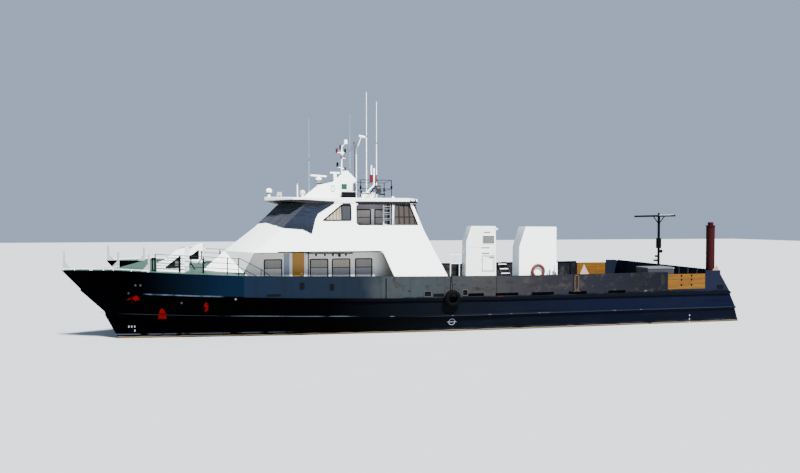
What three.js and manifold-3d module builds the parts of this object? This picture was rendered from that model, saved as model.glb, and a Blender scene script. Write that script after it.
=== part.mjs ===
// A 34 m catamaran offshore supply vessel, afloat, in millimetres.
// +X is the bow, +Y is port, +Z is up; the origin is on the waterline, on the centreline, amidships.
import * as THREE from "three";
import { mergeVertices } from "three/addons/utils/BufferGeometryUtils.js";
import Module from "manifold-3d";

const wasm = await Module();
wasm.setup();

// Driving dimensions
const GAP = 0.3; // left between touching pieces
const CRUMB = 1000; // mm3
const RUN = 8; // running clearance round a moving piece
const HALF_BEAM = 4930;
const PLATE = 60; // bulwark and wall thickness, stiffeners and lining included
const HULL_AXIS = 3400; // centreline of each hull, off the ship's centreline
const STEM_HALF = 25;
const TRANSOM = -16950;
const BREAK = 8900; // aft end of the raised foredeck
const FOREDECK_FRONT = 14690;
const WET_DECK = 850; // underside of the bridge between the hulls
const STERN_PLATE = -15800;
const TUMBLE = 0.19; // inward lean of the side plates per unit of height
const TUMBLE_FOOT = 2750; // height where the lean begins
const SIDE_FOOT = 4900; // half-breadth of the side plates there
const PASSAGE_TOP = 3920; // underside of the upper deck
const UPPER_DECK = 4020;
const SILL = 5180; // top of the side plates beside the wheelhouse
const ROOF_UNDER = 6240;
const LOWER_WALL = 3950; // half-breadth of the lower house
const WHEEL_WALL = 3430; // half-breadth of the wheelhouse aft of its front
const HOUSE_AFT = 600;
const WHEEL_AFT = 2050;
const WHEEL_FRONT = 3850;

// Height along the length: [x, z]
const LINES = {
  keel: [[12600, -1500], [-5000, -1500], [-11000, -980], [-14000, -560], [-16950, -450]],
  chine: [[14000, -550], [5000, -750], [-5000, -750], [-11000, -620], [-14000, -480], [-16950, -380]],
  water: [[14550, 0], [-16950, 0]],
  lowerStrake: [[15100, 1160], [10800, 1010], [6400, 880], [1700, 820], [-4400, 775], [-16750, 770]],
  deck: [[16100, 2320], [13000, 2100], [10100, 1880], [6400, 1740], [1700, 1610], [-4400, 1560],
    [-16410, 1560]],
  gunwale: [[16850, 3180], [14200, 3200], [12060, 3060], [9500, 2900], [6400, 2820], [1700, 2740],
    [-4400, 2670], [-12650, 2705], [-16410, 2760]],
};

const STATIONS = [0, 0.04, 0.1, 0.18, 0.28, 0.42, 0.6, 0.8, 0.9, 1];

// Plan shape of a hull at each level. out and inn are its half-breadths from the hull's own centreline;
// entry is the share of the length over which they are reached, power how full that entry is, and tip how
// far outboard the stem stands.
const SHAPES = {
  keel: { stem: 12600, stern: TRANSOM, out: 100, inn: 100, entry: 0.1, innEntry: 0.1, power: 1, tip: 0 },
  chine: { stem: 14000, stern: TRANSOM, out: 1200, inn: 1150, entry: 0.6, innEntry: 0.6, power: 1.7, tip: 0 },
  water: { stem: 14550, stern: TRANSOM, out: 1500, inn: 1400, entry: 0.6, innEntry: 0.5, power: 1.6, tip: 0 },
  lowerStrake: {
    stem: 15100, stern: -16720, out: 1530, inn: 1400, entry: 0.45, innEntry: 0.35, power: 2.2, tip: 60,
  },
  deck: {
    stem: 16100, stern: -16410, out: 1530, inn: 1400, entry: 0.22, innEntry: 0.22, power: 2.2, tip: 140,
  },
  gunwale: {
    stem: 16850, stern: -16200, out: 1530, inn: 1400, entry: 0.2, innEntry: 0.2, power: 2.6, tip: 220,
  },
};
const STRAKE = { half: 55, bevel: 20, proud: 70 };

function heightOn(line, x) {
  const points = LINES[line];
  for (let i = 1; i < points.length; i++) {
    const [x0, z0] = points[i - 1];
    const [x1, z1] = points[i];
    if (x >= x1 || i === points.length - 1) {
      return z0 + (z1 - z0) * Math.min(1, Math.max(0, (x - x0) / (x1 - x0)));
    }
  }
}

// Half-breadths of a hull at x: [outboard, inboard] distances from its centreline
function breadths(level, x) {
  const shape = SHAPES[level];
  const t = Math.min(1, Math.max(0, (shape.stem - x) / (shape.stem - shape.stern)));
  const grow = (entry) => 1 - Math.pow(Math.max(0, 1 - t / entry), shape.power);
  const shift = shape.tip * Math.max(0, 1 - t / shape.entry);
  const out = STEM_HALF + (shape.out - STEM_HALF) * grow(shape.entry);
  const inn = STEM_HALF + (shape.inn - STEM_HALF) * grow(shape.innEntry);
  return [out + shift, inn - shift];
}

// Geometry helpers
function solid(geometry) {
  const shape = geometry.clone();
  shape.deleteAttribute("normal");
  shape.deleteAttribute("uv");
  const merged = mergeVertices(shape, 1e-3);
  return new wasm.Manifold(new wasm.Mesh({
    numProp: 3,
    vertProperties: merged.attributes.position.array,
    triVerts: new Uint32Array(merged.index.array),
  }));
}

function geometryOf(manifold) {
  const mesh = manifold.getMesh();
  const geometry = new THREE.BufferGeometry();
  geometry.setAttribute("position", new THREE.BufferAttribute(new Float32Array(mesh.vertProperties), 3));
  geometry.setIndex(new THREE.BufferAttribute(new Uint32Array(mesh.triVerts), 1));
  return geometry;
}

function join(first, ...others) {
  return others.reduce((sum, other) => sum.add(other), first);
}

function cut(body, ...cutters) {
  return cutters.reduce((rest, cutter) => rest.subtract(cutter), body);
}

function box(x0, x1, y0, y1, z0, z1) {
  const geometry = new THREE.BoxGeometry(Math.abs(x1 - x0), Math.abs(y1 - y0), Math.abs(z1 - z0));
  geometry.translate((x0 + x1) / 2, (y0 + y1) / 2, (z0 + z1) / 2);
  return solid(geometry);
}

const PLANES = {
  XY: new THREE.Matrix4(),
  XZ: new THREE.Matrix4().makeBasis(
    new THREE.Vector3(1, 0, 0), new THREE.Vector3(0, 0, 1), new THREE.Vector3(0, -1, 0)),
  YZ: new THREE.Matrix4().makeBasis(
    new THREE.Vector3(0, 1, 0), new THREE.Vector3(0, 0, 1), new THREE.Vector3(1, 0, 0)),
};

// An outline, with holes, in one plane, thick from low to high along the third axis
function slab(plane, outline, low, high, holes = []) {
  const corners = outline.map(([a, b]) => new THREE.Vector2(a, b));
  if (THREE.ShapeUtils.isClockWise(corners)) corners.reverse();
  const shape = new THREE.Shape(corners);
  shape.holes = holes.map((hole) => new THREE.Path(hole.map(([a, b]) => new THREE.Vector2(a, b))));
  const geometry = new THREE.ExtrudeGeometry(shape, { depth: high - low, bevelEnabled: false, steps: 1 });
  geometry.applyMatrix4(PLANES[plane]);
  if (plane === "XY") geometry.translate(0, 0, low);
  if (plane === "XZ") geometry.translate(0, high, 0);
  if (plane === "YZ") geometry.translate(low, 0, 0);
  return solid(geometry);
}

// A polygon whose corners are rounded: corners are [a, b, radius]
function rounded(corners, steps = 3) {
  const points = [];
  corners.forEach(([a, b, radius = 0], i) => {
    const corner = new THREE.Vector2(a, b);
    const before = corners[(i + corners.length - 1) % corners.length];
    const after = corners[(i + 1) % corners.length];
    const back = new THREE.Vector2(before[0], before[1]).sub(corner).normalize();
    const on = new THREE.Vector2(after[0], after[1]).sub(corner).normalize();
    if (!radius) {
      points.push([a, b]);
      return;
    }
    const half = back.angleTo(on) / 2;
    const reach = radius / Math.tan(half);
    const start = corner.clone().addScaledVector(back, reach);
    const end = corner.clone().addScaledVector(on, reach);
    const curve = new THREE.QuadraticBezierCurve(start, corner, end);
    curve.getPoints(steps).forEach((p) => points.push([p.x, p.y]));
  });
  return points;
}

function rectangle(a0, a1, b0, b1, radius) {
  return rounded([[a0, b0, radius], [a1, b0, radius], [a1, b1, radius], [a0, b1, radius]]);
}

// A closed skin through rings; each ring is two chains of points, so its ends are strips between them.
// Each four-cornered patch is folded along its shorter diagonal.
function loft(rings) {
  const count = rings[0].outer.length;
  const loop = 2 * count;
  const points = rings.flatMap(({ outer, inner }) => [...outer, ...[...inner].reverse()]);
  const positions = points.flat();
  const apart = (i, j) => Math.hypot(...points[i].map((value, axis) => value - points[j][axis]));
  const faces = [];
  for (let r = 0; r + 1 < rings.length; r++) {
    for (let i = 0; i < loop; i++) {
      const a = r * loop + i;
      const b = r * loop + ((i + 1) % loop);
      if (apart(a, b + loop) < apart(b, a + loop) - 1e-6) faces.push(a, b, b + loop, a, b + loop, a + loop);
      else faces.push(a, b, a + loop, b, b + loop, a + loop);
    }
  }
  for (let i = 0; i + 1 < count; i++) {
    const j = loop - 1 - i;
    const top = (rings.length - 1) * loop;
    faces.push(i, j, i + 1, i + 1, j, j - 1);
    faces.push(top + i, top + i + 1, top + j, top + i + 1, top + j - 1, top + j);
  }
  const geometry = new THREE.BufferGeometry();
  geometry.setAttribute("position", new THREE.Float32BufferAttribute(positions, 3));
  geometry.setIndex(faces);
  const made = solid(geometry);
  if (made.volume() > 0) return made;
  for (let i = 0; i < faces.length; i += 3) [faces[i], faces[i + 1]] = [faces[i + 1], faces[i]];
  geometry.setIndex(faces);
  return solid(geometry);
}

// A round bar between two points
function bar(from, to, radius, sides = 6) {
  const a = new THREE.Vector3(...from);
  const b = new THREE.Vector3(...to);
  const geometry = new THREE.CylinderGeometry(radius, radius, a.distanceTo(b), sides);
  geometry.rotateX(Math.PI / 2);
  geometry.applyMatrix4(new THREE.Matrix4().lookAt(b, a, new THREE.Vector3(0.3, 0.2, 1)));
  geometry.translate((a.x + b.x) / 2, (a.y + b.y) / 2, (a.z + b.z) / 2);
  return solid(geometry);
}

function ring(radius, tube, around = 20, across = 8) {
  return solid(new THREE.TorusGeometry(radius, tube, across, around));
}

function mirrored(manifold) {
  return manifold.mirror([0, 1, 0]);
}

const vessel = new THREE.Group();

const PAINTS = {
  hull: { color: 0x0c1630, roughness: 0.5, metalness: 0.1 },
  bulwark: { color: 0x1c3c5c, roughness: 0.55, metalness: 0.1 },
  deck: { color: 0x6f9a88, roughness: 0.8, metalness: 0 },
  white: { color: 0xeef2f6, roughness: 0.35, metalness: 0 },
  ochre: { color: 0xb98a3a, roughness: 0.5, metalness: 0 },
  cover: { color: 0x46536a, roughness: 0.85, metalness: 0 },
  black: { color: 0x101216, roughness: 0.6, metalness: 0.2 },
  grey: { color: 0x9aa0a4, roughness: 0.5, metalness: 0.5 },
  yellow: { color: 0xd79a1e, roughness: 0.55, metalness: 0 },
  red: { color: 0x8c1a1e, roughness: 0.5, metalness: 0.1 },
  orange: { color: 0xb2552c, roughness: 0.6, metalness: 0 },
  bronze: { color: 0x9a7a44, roughness: 0.35, metalness: 0.9 },
  rubber: { color: 0x15161a, roughness: 0.9, metalness: 0 },
  slats: { color: 0x6b6258, roughness: 0.8, metalness: 0 },
};

// Crumbs that a cut leaves behind are dropped
function withoutCrumbs(manifold) {
  const kept = manifold.decompose().filter((piece) => piece.volume() > CRUMB);
  return join(...kept);
}

function add(name, manifold, paint) {
  const clean = withoutCrumbs(manifold);
  const mesh = new THREE.Mesh(geometryOf(clean), new THREE.MeshStandardMaterial(PAINTS[paint]));
  mesh.name = name;
  vessel.add(mesh);
  return manifold;
}

function addPair(name, manifold, paint) {
  return [add(name + "_port", manifold, paint), add(name + "_starboard", mirrored(manifold), paint)];
}

// Hulls
function levelRing(level, rise, proud, xs) {
  const shape = SHAPES[level];
  const stations = xs || STATIONS.map((t) => shape.stem + (shape.stern - shape.stem) * t);
  const outer = [];
  const inner = [];
  stations.forEach((x, i) => {
    const [out, inn] = breadths(level, x);
    const z = heightOn(level, x) + rise;
    const step = i < 2 ? 0 : proud;
    outer.push([x, HULL_AXIS + out + step, z]);
    inner.push([x, HULL_AXIS - inn, z]);
  });
  return { outer, inner };
}

function strakeRings(level) {
  return [
    levelRing(level, -STRAKE.half - STRAKE.bevel, 0),
    levelRing(level, -STRAKE.half, STRAKE.proud),
    levelRing(level, STRAKE.half, STRAKE.proud),
    levelRing(level, STRAKE.half + STRAKE.bevel, 0),
  ];
}

const RAISED_SHARES = [0, 0.08, 0.18, 0.3, 0.5, 0.7, 1];

function raisedStations(level) {
  const { stem } = SHAPES[level];
  return RAISED_SHARES.map((share) => stem + (BREAK - stem) * share);
}

const DECK_RISE = STRAKE.half + STRAKE.bevel; // the deck is level with the upper strake's top
const deckAt = (x) => heightOn("deck", x) + DECK_RISE;
const SINK = 20; // how far a piece runs below the deck before the deck is cut from it

const TRUNK = { x: -16080, foot: -560, radius: 90 }; // where the rudder stock enters the hull

function hull() {
  const lower = loft([
    levelRing("keel", 0, 0),
    levelRing("chine", 0, 0),
    levelRing("water", 0, 0),
    ...strakeRings("lowerStrake"),
    ...strakeRings("deck"),
  ]);
  const raised = loft([
    levelRing("deck", 0, 0, raisedStations("deck")),
    levelRing("gunwale", 0, 0, raisedStations("gunwale")),
  ]);
  const trunk = bar([TRUNK.x, HULL_AXIS, TRUNK.foot], [TRUNK.x, HULL_AXIS, 0], TRUNK.radius, 12);
  return join(lower, raised, trunk);
}

const portHull = hull();
addPair("hull", portHull, "hull");
const hullCutters = [[0, -GAP, 0], [0, 0, GAP], [0, -GAP, -GAP]].flatMap((step) => {
  const grown = portHull.translate(step);
  return [grown, mirrored(grown)];
});

// The bridge between the hulls, from the stern to under the foredeck
const DECK_STOPS = STATIONS.map((t) => SHAPES.deck.stem + (SHAPES.deck.stern - SHAPES.deck.stem) * t);
const BRIDGE_FRONT = 12400;
const FOREDECK_FOOT = deckAt(BREAK);
const aftStops = DECK_STOPS.filter((x) => x < BREAK);
const WEAR_PLATE = { aft: -14500, fore: -7000, half: 1900, thick: 12 }; // under the deck cargo
const wearPlate = box(WEAR_PLATE.aft, WEAR_PLATE.fore, -WEAR_PLATE.half, WEAR_PLATE.half,
  WET_DECK + 100, deckAt(WEAR_PLATE.fore) + WEAR_PLATE.thick);
const bridge = add("bridge_deck", join(cut(
  slab("XZ", [
    [BRIDGE_FRONT, WET_DECK + 400],
    [BRIDGE_FRONT - 300, FOREDECK_FOOT],
    [BREAK, FOREDECK_FOOT],
    ...aftStops.map((x) => [x, deckAt(x)]),
    [SHAPES.deck.stern + 300, WET_DECK],
    [BRIDGE_FRONT - 1500, WET_DECK],
  ], -2900, 2900),
  ...hullCutters,
), wearPlate), "deck");

const foreStops = raisedStations("gunwale").filter((x) => x < FOREDECK_FRONT);
const foredeck = add("foredeck", cut(
  slab("XZ", [
    [FOREDECK_FRONT, heightOn("gunwale", FOREDECK_FRONT)],
    ...foreStops.map((x) => [x, heightOn("gunwale", x)]),
    [BREAK, FOREDECK_FOOT + GAP],
    [BRIDGE_FRONT - 300, FOREDECK_FOOT + GAP],
    [FOREDECK_FRONT, heightOn("gunwale", FOREDECK_FRONT) - 450],
  ], -2900, 2900),
  ...hullCutters,
), "deck");
const deckCutters = [...hullCutters, bridge.translate([0, 0, GAP]), foredeck.translate([0, 0, GAP])];

// Bulwarks, with freeing ports at the foot, a low sill under each gate and a stiffened inner face
const GATE = { fore: -12650, aft: -14890, sill: 1800, top: 2600, thick: 50, planks: 3, guide: 50 };
const INNER_FACE = HALF_BEAM - PLATE;
const guideAt = (from, to) => box(from, to, INNER_FACE - 30, INNER_FACE - 4, GATE.sill - 60, GATE.top);
const CAP = { width: 100, deep: 40 };
const FREEING = [[-1500, -2500], [-3100, -4300], [-5000, -6200], [-7000, -8000], [-9200, -10200]];
const STIFFENERS = [7200, 5900, 4600, 3300, 2000, -300, -2800, -6700, -8600, -10700, -12200];

function bulwark() {
  const stops = [BREAK, 6400, 1700, -4400, GATE.fore];
  const foot = [GATE.aft, GATE.fore, ...aftStops.slice(0, -1).filter((x) => x > GATE.fore).reverse(), BREAK];
  const outline = [
    ...stops.map((x) => [x, heightOn("gunwale", x)]),
    [GATE.fore, GATE.sill],
    [GATE.aft, GATE.sill],
    ...foot.map((x) => [x, deckAt(x) + GAP]),
  ];
  outline[outline.length - 1][0] = BREAK;
  const ports = FREEING.map(([a, b]) => rectangle(b, a, deckAt(a) + 40, deckAt(a) + 190, 40));
  let body = slab("XZ", outline, HALF_BEAM - PLATE, HALF_BEAM, ports);
  const cap = slab("XZ", [
    ...stops.map((x) => [x, heightOn("gunwale", x)]),
    ...[...stops].reverse().map((x) => [x, heightOn("gunwale", x) - CAP.deep]),
  ], HALF_BEAM - CAP.width, HALF_BEAM);
  body = join(body, cap, guideAt(GATE.fore - GATE.guide, GATE.fore + 20),
    box(GATE.fore, GATE.fore + 20, INNER_FACE - 30, INNER_FACE + 10, GATE.sill - 60, GATE.top));
  STIFFENERS.forEach((x) => {
    const web = slab("YZ", [
      [HALF_BEAM - PLATE / 2, deckAt(x) + 2 * GAP],
      [HALF_BEAM - PLATE / 2, heightOn("gunwale", x) - CAP.deep / 2],
      [HALF_BEAM - CAP.width, heightOn("gunwale", x) - CAP.deep / 2],
      [HALF_BEAM - CAP.width - 90, deckAt(x) + 2 * GAP],
    ], x - 10, x + 10);
    body = body.add(web);
  });
  return body;
}

addPair("bulwark", cut(bulwark(), ...hullCutters), "bulwark");

// Stern: quarter plates and the plate across, with stiffeners
function sternBulwark() {
  const foot = deckAt(STERN_PLATE) - SINK;
  const top = heightOn("gunwale", STERN_PLATE);
  const quarter = slab("XZ", [
    [GATE.aft - GAP, foot],
    [GATE.aft - GAP, top + 20],
    [-15690, top],
    [-16400, foot],
  ], HALF_BEAM - PLATE, HALF_BEAM, [rectangle(-15860, -15620, 1800, 1960, 70)]);
  const across = box(STERN_PLATE - 30, STERN_PLATE + 30, -HALF_BEAM + 30, HALF_BEAM - 30, foot, top);
  const rail = box(STERN_PLATE - 30, STERN_PLATE + 60, -HALF_BEAM + 30, HALF_BEAM - 30, top - CAP.deep, top);
  const guide = guideAt(GATE.aft - 20, GATE.aft + GATE.guide).add(
    box(GATE.aft - 20, GATE.aft - GAP, INNER_FACE - 30, INNER_FACE + 10, GATE.sill, GATE.top));
  let body = join(across, quarter, mirrored(quarter), rail, guide, mirrored(guide));
  for (let y = -3900; y <= 3900; y += 1300) {
    body = body.add(box(STERN_PLATE, STERN_PLATE + 90, y - 12, y + 12, foot, top - CAP.deep / 2));
  }
  return body;
}

add("stern_bulwark", cut(sternBulwark(), ...deckCutters), "bulwark");

// Lift-out gates in the bulwarks aft: three planks
function gate() {
  const height = (GATE.top - GATE.sill) / GATE.planks;
  const low = HALF_BEAM - PLATE / 2 - GATE.thick / 2;
  const [aft, fore] = [GATE.aft + RUN, GATE.fore - RUN];
  let body = box(aft, fore, low, low + GATE.thick - 5, GATE.sill + GAP, GATE.top - 10);
  for (let i = 0; i < GATE.planks; i++) {
    const z = GATE.sill + GAP + i * height;
    body = body.add(box(aft, fore, low, low + GATE.thick, z, z + height - 12));
  }
  [-14150, -13390].forEach((x) => {
    body = body.add(box(x - 40, x + 40, low - 8, low + 5, GATE.sill + 40, GATE.top - 30));
  });
  return body;
}

addPair("gate", gate(), "yellow");

// Front of the house: a sloping shell, flat in the middle and turned back at the corners.
// Columns: height, x of the flat front, x of the corner's after end, half-breadth there
const SILL_FORE = 5100;
const sideHalf = (z) => SIDE_FOOT - TUMBLE * (z - TUMBLE_FOOT);
const FRONT = [
  [2950, 11000, 8960, 3950],
  [PASSAGE_TOP, 9960, 8460, sideHalf(PASSAGE_TOP)],
  [SILL_FORE, 8480, 7100, sideHalf(SILL_FORE)],
  [ROOF_UNDER, 7300, 6000, sideHalf(ROOF_UNDER)],
];
const FRONT_FLAT = 2300;
const FRONT_WALL = 70;

function frontAt(z) {
  const i = Math.max(1, FRONT.findIndex((row) => row[0] >= z));
  const [low, high] = [FRONT[i - 1], FRONT[i]];
  const share = (z - low[0]) / (high[0] - low[0]);
  return low.map((value, column) => value + (high[column] - value) * share);
}

function frontRing([z, xFlat, xCorner, half], inset, wall) {
  const chain = (depth) => {
    const side = [[xCorner, half - depth], [xFlat - depth * 1.1, FRONT_FLAT - depth * 0.4]];
    const back = side.map(([x, y]) => [x, -y]).reverse();
    return [...side, ...back].map(([x, y]) => [x, y, z]);
  };
  return { outer: chain(inset), inner: chain(inset + wall) };
}

const WINDSCREEN = [-1840, -920, 0, 920, 1840];
const frontShell = loft(FRONT.map((row) => frontRing(row, 0, FRONT_WALL)));
let houseFront = cut(frontShell, ...deckCutters);
WINDSCREEN.forEach((y) => {
  houseFront = houseFront.subtract(slab("XZ", [[9000, 5250], [9000, 6000], [6500, 6000], [6500, 5250]],
    y - 400, y + 400));
});
add("house_front", houseFront, "white");

// The deck above the passages
const [, flatX, cornerX] = frontAt(UPPER_DECK);
const deckEdge = sideHalf(UPPER_DECK) - PLATE - 2;
const upperOutline = [
  [flatX - 120, 2200],
  [cornerX - 60, deckEdge - 60],
  [cornerX - 300, deckEdge],
  [200, deckEdge],
];
add("upper_deck", slab("XY", [...upperOutline, ...upperOutline.map(([x, y]) => [x, -y]).reverse()],
  PASSAGE_TOP + 30, UPPER_DECK), "deck");

// Side plates: full-beam wings with the passage arch, a three-sided window and the wheelhouse opening
function lean(manifold) {
  return manifold.warp((v) => {
    v[1] -= TUMBLE * (v[2] - TUMBLE_FOOT);
  });
}

const plateFoot = (x) => heightOn("gunwale", x) + GAP;
const sideOutline = [
  ...rounded([
    [FRONT[1][2] - 2 * GAP, PASSAGE_TOP],
    [2480, PASSAGE_TOP, 260],
    [1970, plateFoot(1970)],
  ]),
  [-660, plateFoot(-660)],
  [430, 4920],
  [930, ROOF_UNDER - GAP],
  [FRONT[3][2] - 2 * GAP, ROOF_UNDER - GAP],
  [FRONT[2][2] - 2 * GAP, SILL_FORE],
];
const WING_OPENING = rounded([[3710, SILL, 160], [690, SILL, 30], [1060, 6180, 30], [3710, 6180, 160]]);
const WING_WINDOW = rounded([[5310, 5400, 20], [4400, 6160, 60], [3960, 6160, 60], [3960, 5400, 60]]);

function sidePlate() {
  const plate = slab("XZ", sideOutline, SIDE_FOOT - PLATE, SIDE_FOOT, [WING_OPENING, WING_WINDOW]);
  return lean(plate);
}

addPair("side_plate", sidePlate(), "white");
const plateCutter = (z0, z1) => lean(box(-3000, 12000, SIDE_FOOT - PLATE - 2, SIDE_FOOT + 3000, z0, z1));

// The lower house: side walls and after wall, windows and doorways cut
// Columns: after end, fore end, sill, head
const LOWER_WINDOWS = [[7200, 8030], [5030, 5890], [3970, 4840], [2890, 3720]];
const WINDOW_SILL = 2560;
const WINDOW_HEAD = 3560;
const SIDE_DOOR = { aft: 6110, fore: 6760, sill: 1960, head: 3880, thick: 40 };
const AFT_DOOR = { half: 370, sill: 1800, head: 3760 };

function lowerWall() {
  const foot = [BREAK - GAP, 7400, 4500, 1700, HOUSE_AFT];
  const outline = [
    [HOUSE_AFT, PASSAGE_TOP + 30 - GAP],
    [BREAK - 40, PASSAGE_TOP + 30 - GAP],
    [BREAK - GAP, FRONT[0][0]],
    ...foot.map((x) => [x, deckAt(x) - 100]),
  ];
  const windows = LOWER_WINDOWS.map(([a, b]) => rectangle(a, b, WINDOW_SILL, WINDOW_HEAD, 60));
  const door = [[SIDE_DOOR.aft, SIDE_DOOR.sill], [SIDE_DOOR.fore, SIDE_DOOR.sill],
    [SIDE_DOOR.fore, SIDE_DOOR.head], [SIDE_DOOR.aft, SIDE_DOOR.head]];
  return slab("XZ", outline, LOWER_WALL - PLATE, LOWER_WALL, [...windows, door]);
}

function lowerHouse() {
  const after = slab("YZ", [
    [-LOWER_WALL, 1500], [LOWER_WALL, 1500],
    [LOWER_WALL, PASSAGE_TOP + 30 - GAP], [-LOWER_WALL, PASSAGE_TOP + 30 - GAP],
  ], HOUSE_AFT, HOUSE_AFT + PLATE, [
    rectangle(-AFT_DOOR.half, AFT_DOOR.half, AFT_DOOR.sill, AFT_DOOR.head, 20),
    rectangle(1200, 2300, 2700, 3500, 60),
    rectangle(-2300, -1200, 2700, 3500, 60),
  ]);
  const wall = lowerWall();
  return cut(join(wall, mirrored(wall), after), ...deckCutters, frontShell.translate([-GAP, 0, 0]));
}

add("lower_house", lowerHouse(), "white");

// The wheelhouse: narrower than the side plates, closed forward against them
const WHEEL_WINDOWS = [[2200, 2680], [2880, 3620]];
const WHEEL_DOOR = { half: 360, sill: UPPER_DECK + 90, head: 5950 };
const ROOF_FOOT = ROOF_UNDER - GAP;

function wheelhouse() {
  const side = slab("XZ", [
    [WHEEL_AFT, UPPER_DECK + GAP], [WHEEL_FRONT, UPPER_DECK + GAP],
    [WHEEL_FRONT, ROOF_FOOT], [WHEEL_AFT, ROOF_FOOT],
  ], WHEEL_WALL - PLATE, WHEEL_WALL, WHEEL_WINDOWS.map(([a, b]) => rectangle(a, b, 5200, 5950, 50)));
  const back = box(WHEEL_FRONT - PLATE, WHEEL_FRONT, WHEEL_WALL - PLATE, 4700, UPPER_DECK + GAP, ROOF_FOOT);
  const after = slab("YZ", [
    [-WHEEL_WALL, UPPER_DECK + GAP], [WHEEL_WALL, UPPER_DECK + GAP],
    [WHEEL_WALL, ROOF_FOOT], [-WHEEL_WALL, ROOF_FOOT],
  ], WHEEL_AFT, WHEEL_AFT + PLATE, [
    rectangle(-WHEEL_DOOR.half, WHEEL_DOOR.half, WHEEL_DOOR.sill, WHEEL_DOOR.head, 20),
    rectangle(800, 2000, 5100, 5900, 60),
    rectangle(-2000, -800, 5100, 5900, 60),
  ]);
  const half = cut(join(side, back), plateCutter(3900, 6500));
  return join(half, mirrored(half), after);
}

add("wheelhouse", wheelhouse(), "white");

// The roof: cambered, with a visor over the windscreen
const ROOF = { fore: 8020, aft: 700, half: 4260, edge: 6440, crown: 6620 };
const roofOutline = [[ROOF.fore, 2500], [6700, ROOF.half], [ROOF.aft, ROOF.half]];
const roofSection = [
  [-ROOF.half, ROOF_UNDER], [ROOF.half, ROOF_UNDER], [ROOF.half, ROOF.edge],
  [2200, ROOF.crown - 40], [0, ROOF.crown], [-2200, ROOF.crown - 40], [-ROOF.half, ROOF.edge],
];
const visorWedge = slab("XZ", [[8100, 6100], [8100, 6400], [6200, ROOF_UNDER], [6200, 6100]], -5000, 5000);
const roofPlate = cut(
  slab("YZ", roofSection, ROOF.aft, ROOF.fore).intersect(
    slab("XY", [...roofOutline, ...roofOutline.map(([x, y]) => [x, -y]).reverse()], 6000, 7000)),
  visorWedge,
);
const roofCutter = roofPlate.translate([0, 0, GAP]);

function dome(x, y, z, radius) {
  return solid(new THREE.SphereGeometry(radius, 12, 8)).translate([x, y, z]);
}

// Receiver domes on stalks. Columns: x, y, middle of the dome, its radius
const DOMES = [[7830, 0, 6980, 170], [6090, 640, 6890, 150], [1210, 600, 6660, 90]];
const HEAD_POST = { x: 6330, top: 7550, radius: 32, lamp: 75 }; // lamp post before the mast housing
// Lockers on the roof. Columns: after end, fore end, low side, high side, top
const LOCKERS = [[3260, 4020, 470, 800, 6950], [2250, 2950, 560, 960, 6930]];

function roofGear() {
  const low = ROOF.edge + 40;
  const stalks = DOMES.map(([x, y, z, radius]) => join(bar([x, y, low], [x, y, z], radius * 0.45, 8),
    dome(x, y, z, radius)));
  const lockers = LOCKERS.map(([aft, fore, inn, out, top]) => box(aft, fore, inn, out, low, top));
  const { x, top, radius, lamp } = HEAD_POST;
  return join(...stalks, ...lockers, bar([x, 0, low], [x, 0, top], radius, 8),
    bar([x, 0, top - 2 * lamp], [x, 0, top], lamp, 10));
}

add("roof", join(roofPlate, roofGear()), "white");

// The canvas over the windscreen: it wraps both corners, and hangs a little over the side plates' sill
const COVER = { thick: 30, off: 0.8, top: 6190 };
const COVER_AFT = [[5820, 4770], [5640, 5490], [5510, 5730], [4780, COVER.top]];
const COVER_FLAP = [[5700, SILL_FORE + 40], [FRONT[2][2] + 5, SILL_FORE + 40], [FRONT[2][2] + 100, 5010],
  [6240, 4990]];
const COVER_HEM = [[9000, 5230], [8300, 5270], [7950, 5290], [7550, 5170]];

function coverRing([z, xFlat, xCorner, half]) {
  const chain = (off) => {
    const side = [
      [4500, half + off],
      [xCorner, half + off],
      [xFlat + off * 1.1, FRONT_FLAT + off * 0.4],
    ];
    const back = side.map(([x, y]) => [x, -y]).reverse();
    return [...side, ...back].map(([x, y]) => [x, y, z]);
  };
  return { outer: chain(COVER.off + COVER.thick), inner: chain(COVER.off) };
}

function cover() {
  const wrap = loft([coverRing(FRONT[2]), coverRing(FRONT[3])]);
  const outline = slab("XZ", [...COVER_AFT, [9000, COVER.top], ...COVER_HEM, [7100, SILL_FORE + 1],
    [5740, SILL_FORE + 1]], -5000, 5000);
  const flap = lean(slab("XZ", [COVER_AFT[0], ...COVER_FLAP],
    SIDE_FOOT + COVER.off, SIDE_FOOT + COVER.off + COVER.thick));
  return join(wrap.intersect(outline), flap, mirrored(flap));
}

add("windscreen_cover", cover(), "cover");

// Doors: side doors swing out into the passages, after doors swing out over the decks.
// Each hangs on knuckles that stand beside the doorway, just off the wall, on leaves fused to the door.
const KNUCKLE = { radius: 18, beyond: 15, leaf: 90, thick: 12, half: 60, bite: 4 };

// The pin's place, for a door whose edge along the wall is at edge; away and outward are 1 or -1
function pinOf({ edge, away, face, outward }) {
  return [edge + away * (RUN + KNUCKLE.beyond), face + outward * (KNUCKLE.radius + GAP)];
}

function hung(door, along, hang, heights) {
  const [pin, out] = pinOf(hang);
  const { edge, away, face, outward } = hang;
  const block = (a0, a1, b0, b1, z0, z1) => {
    return along === "X" ? box(a0, a1, b0, b1, z0, z1) : box(b0, b1, a0, a1, z0, z1);
  };
  return heights.reduce((body, z) => {
    const [low, high] = [z - KNUCKLE.half, z + KNUCKLE.half];
    const [x, y] = along === "X" ? [pin, out] : [out, pin];
    const tip = face + outward * KNUCKLE.thick;
    return join(body,
      bar([x, y, low], [x, y, high], KNUCKLE.radius, 10),
      block(edge - away * KNUCKLE.leaf, edge, face - outward * KNUCKLE.bite, tip, low, high),
      block(edge - away * KNUCKLE.leaf, pin, face + outward * GAP, tip, low, high));
  }, door);
}

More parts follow.
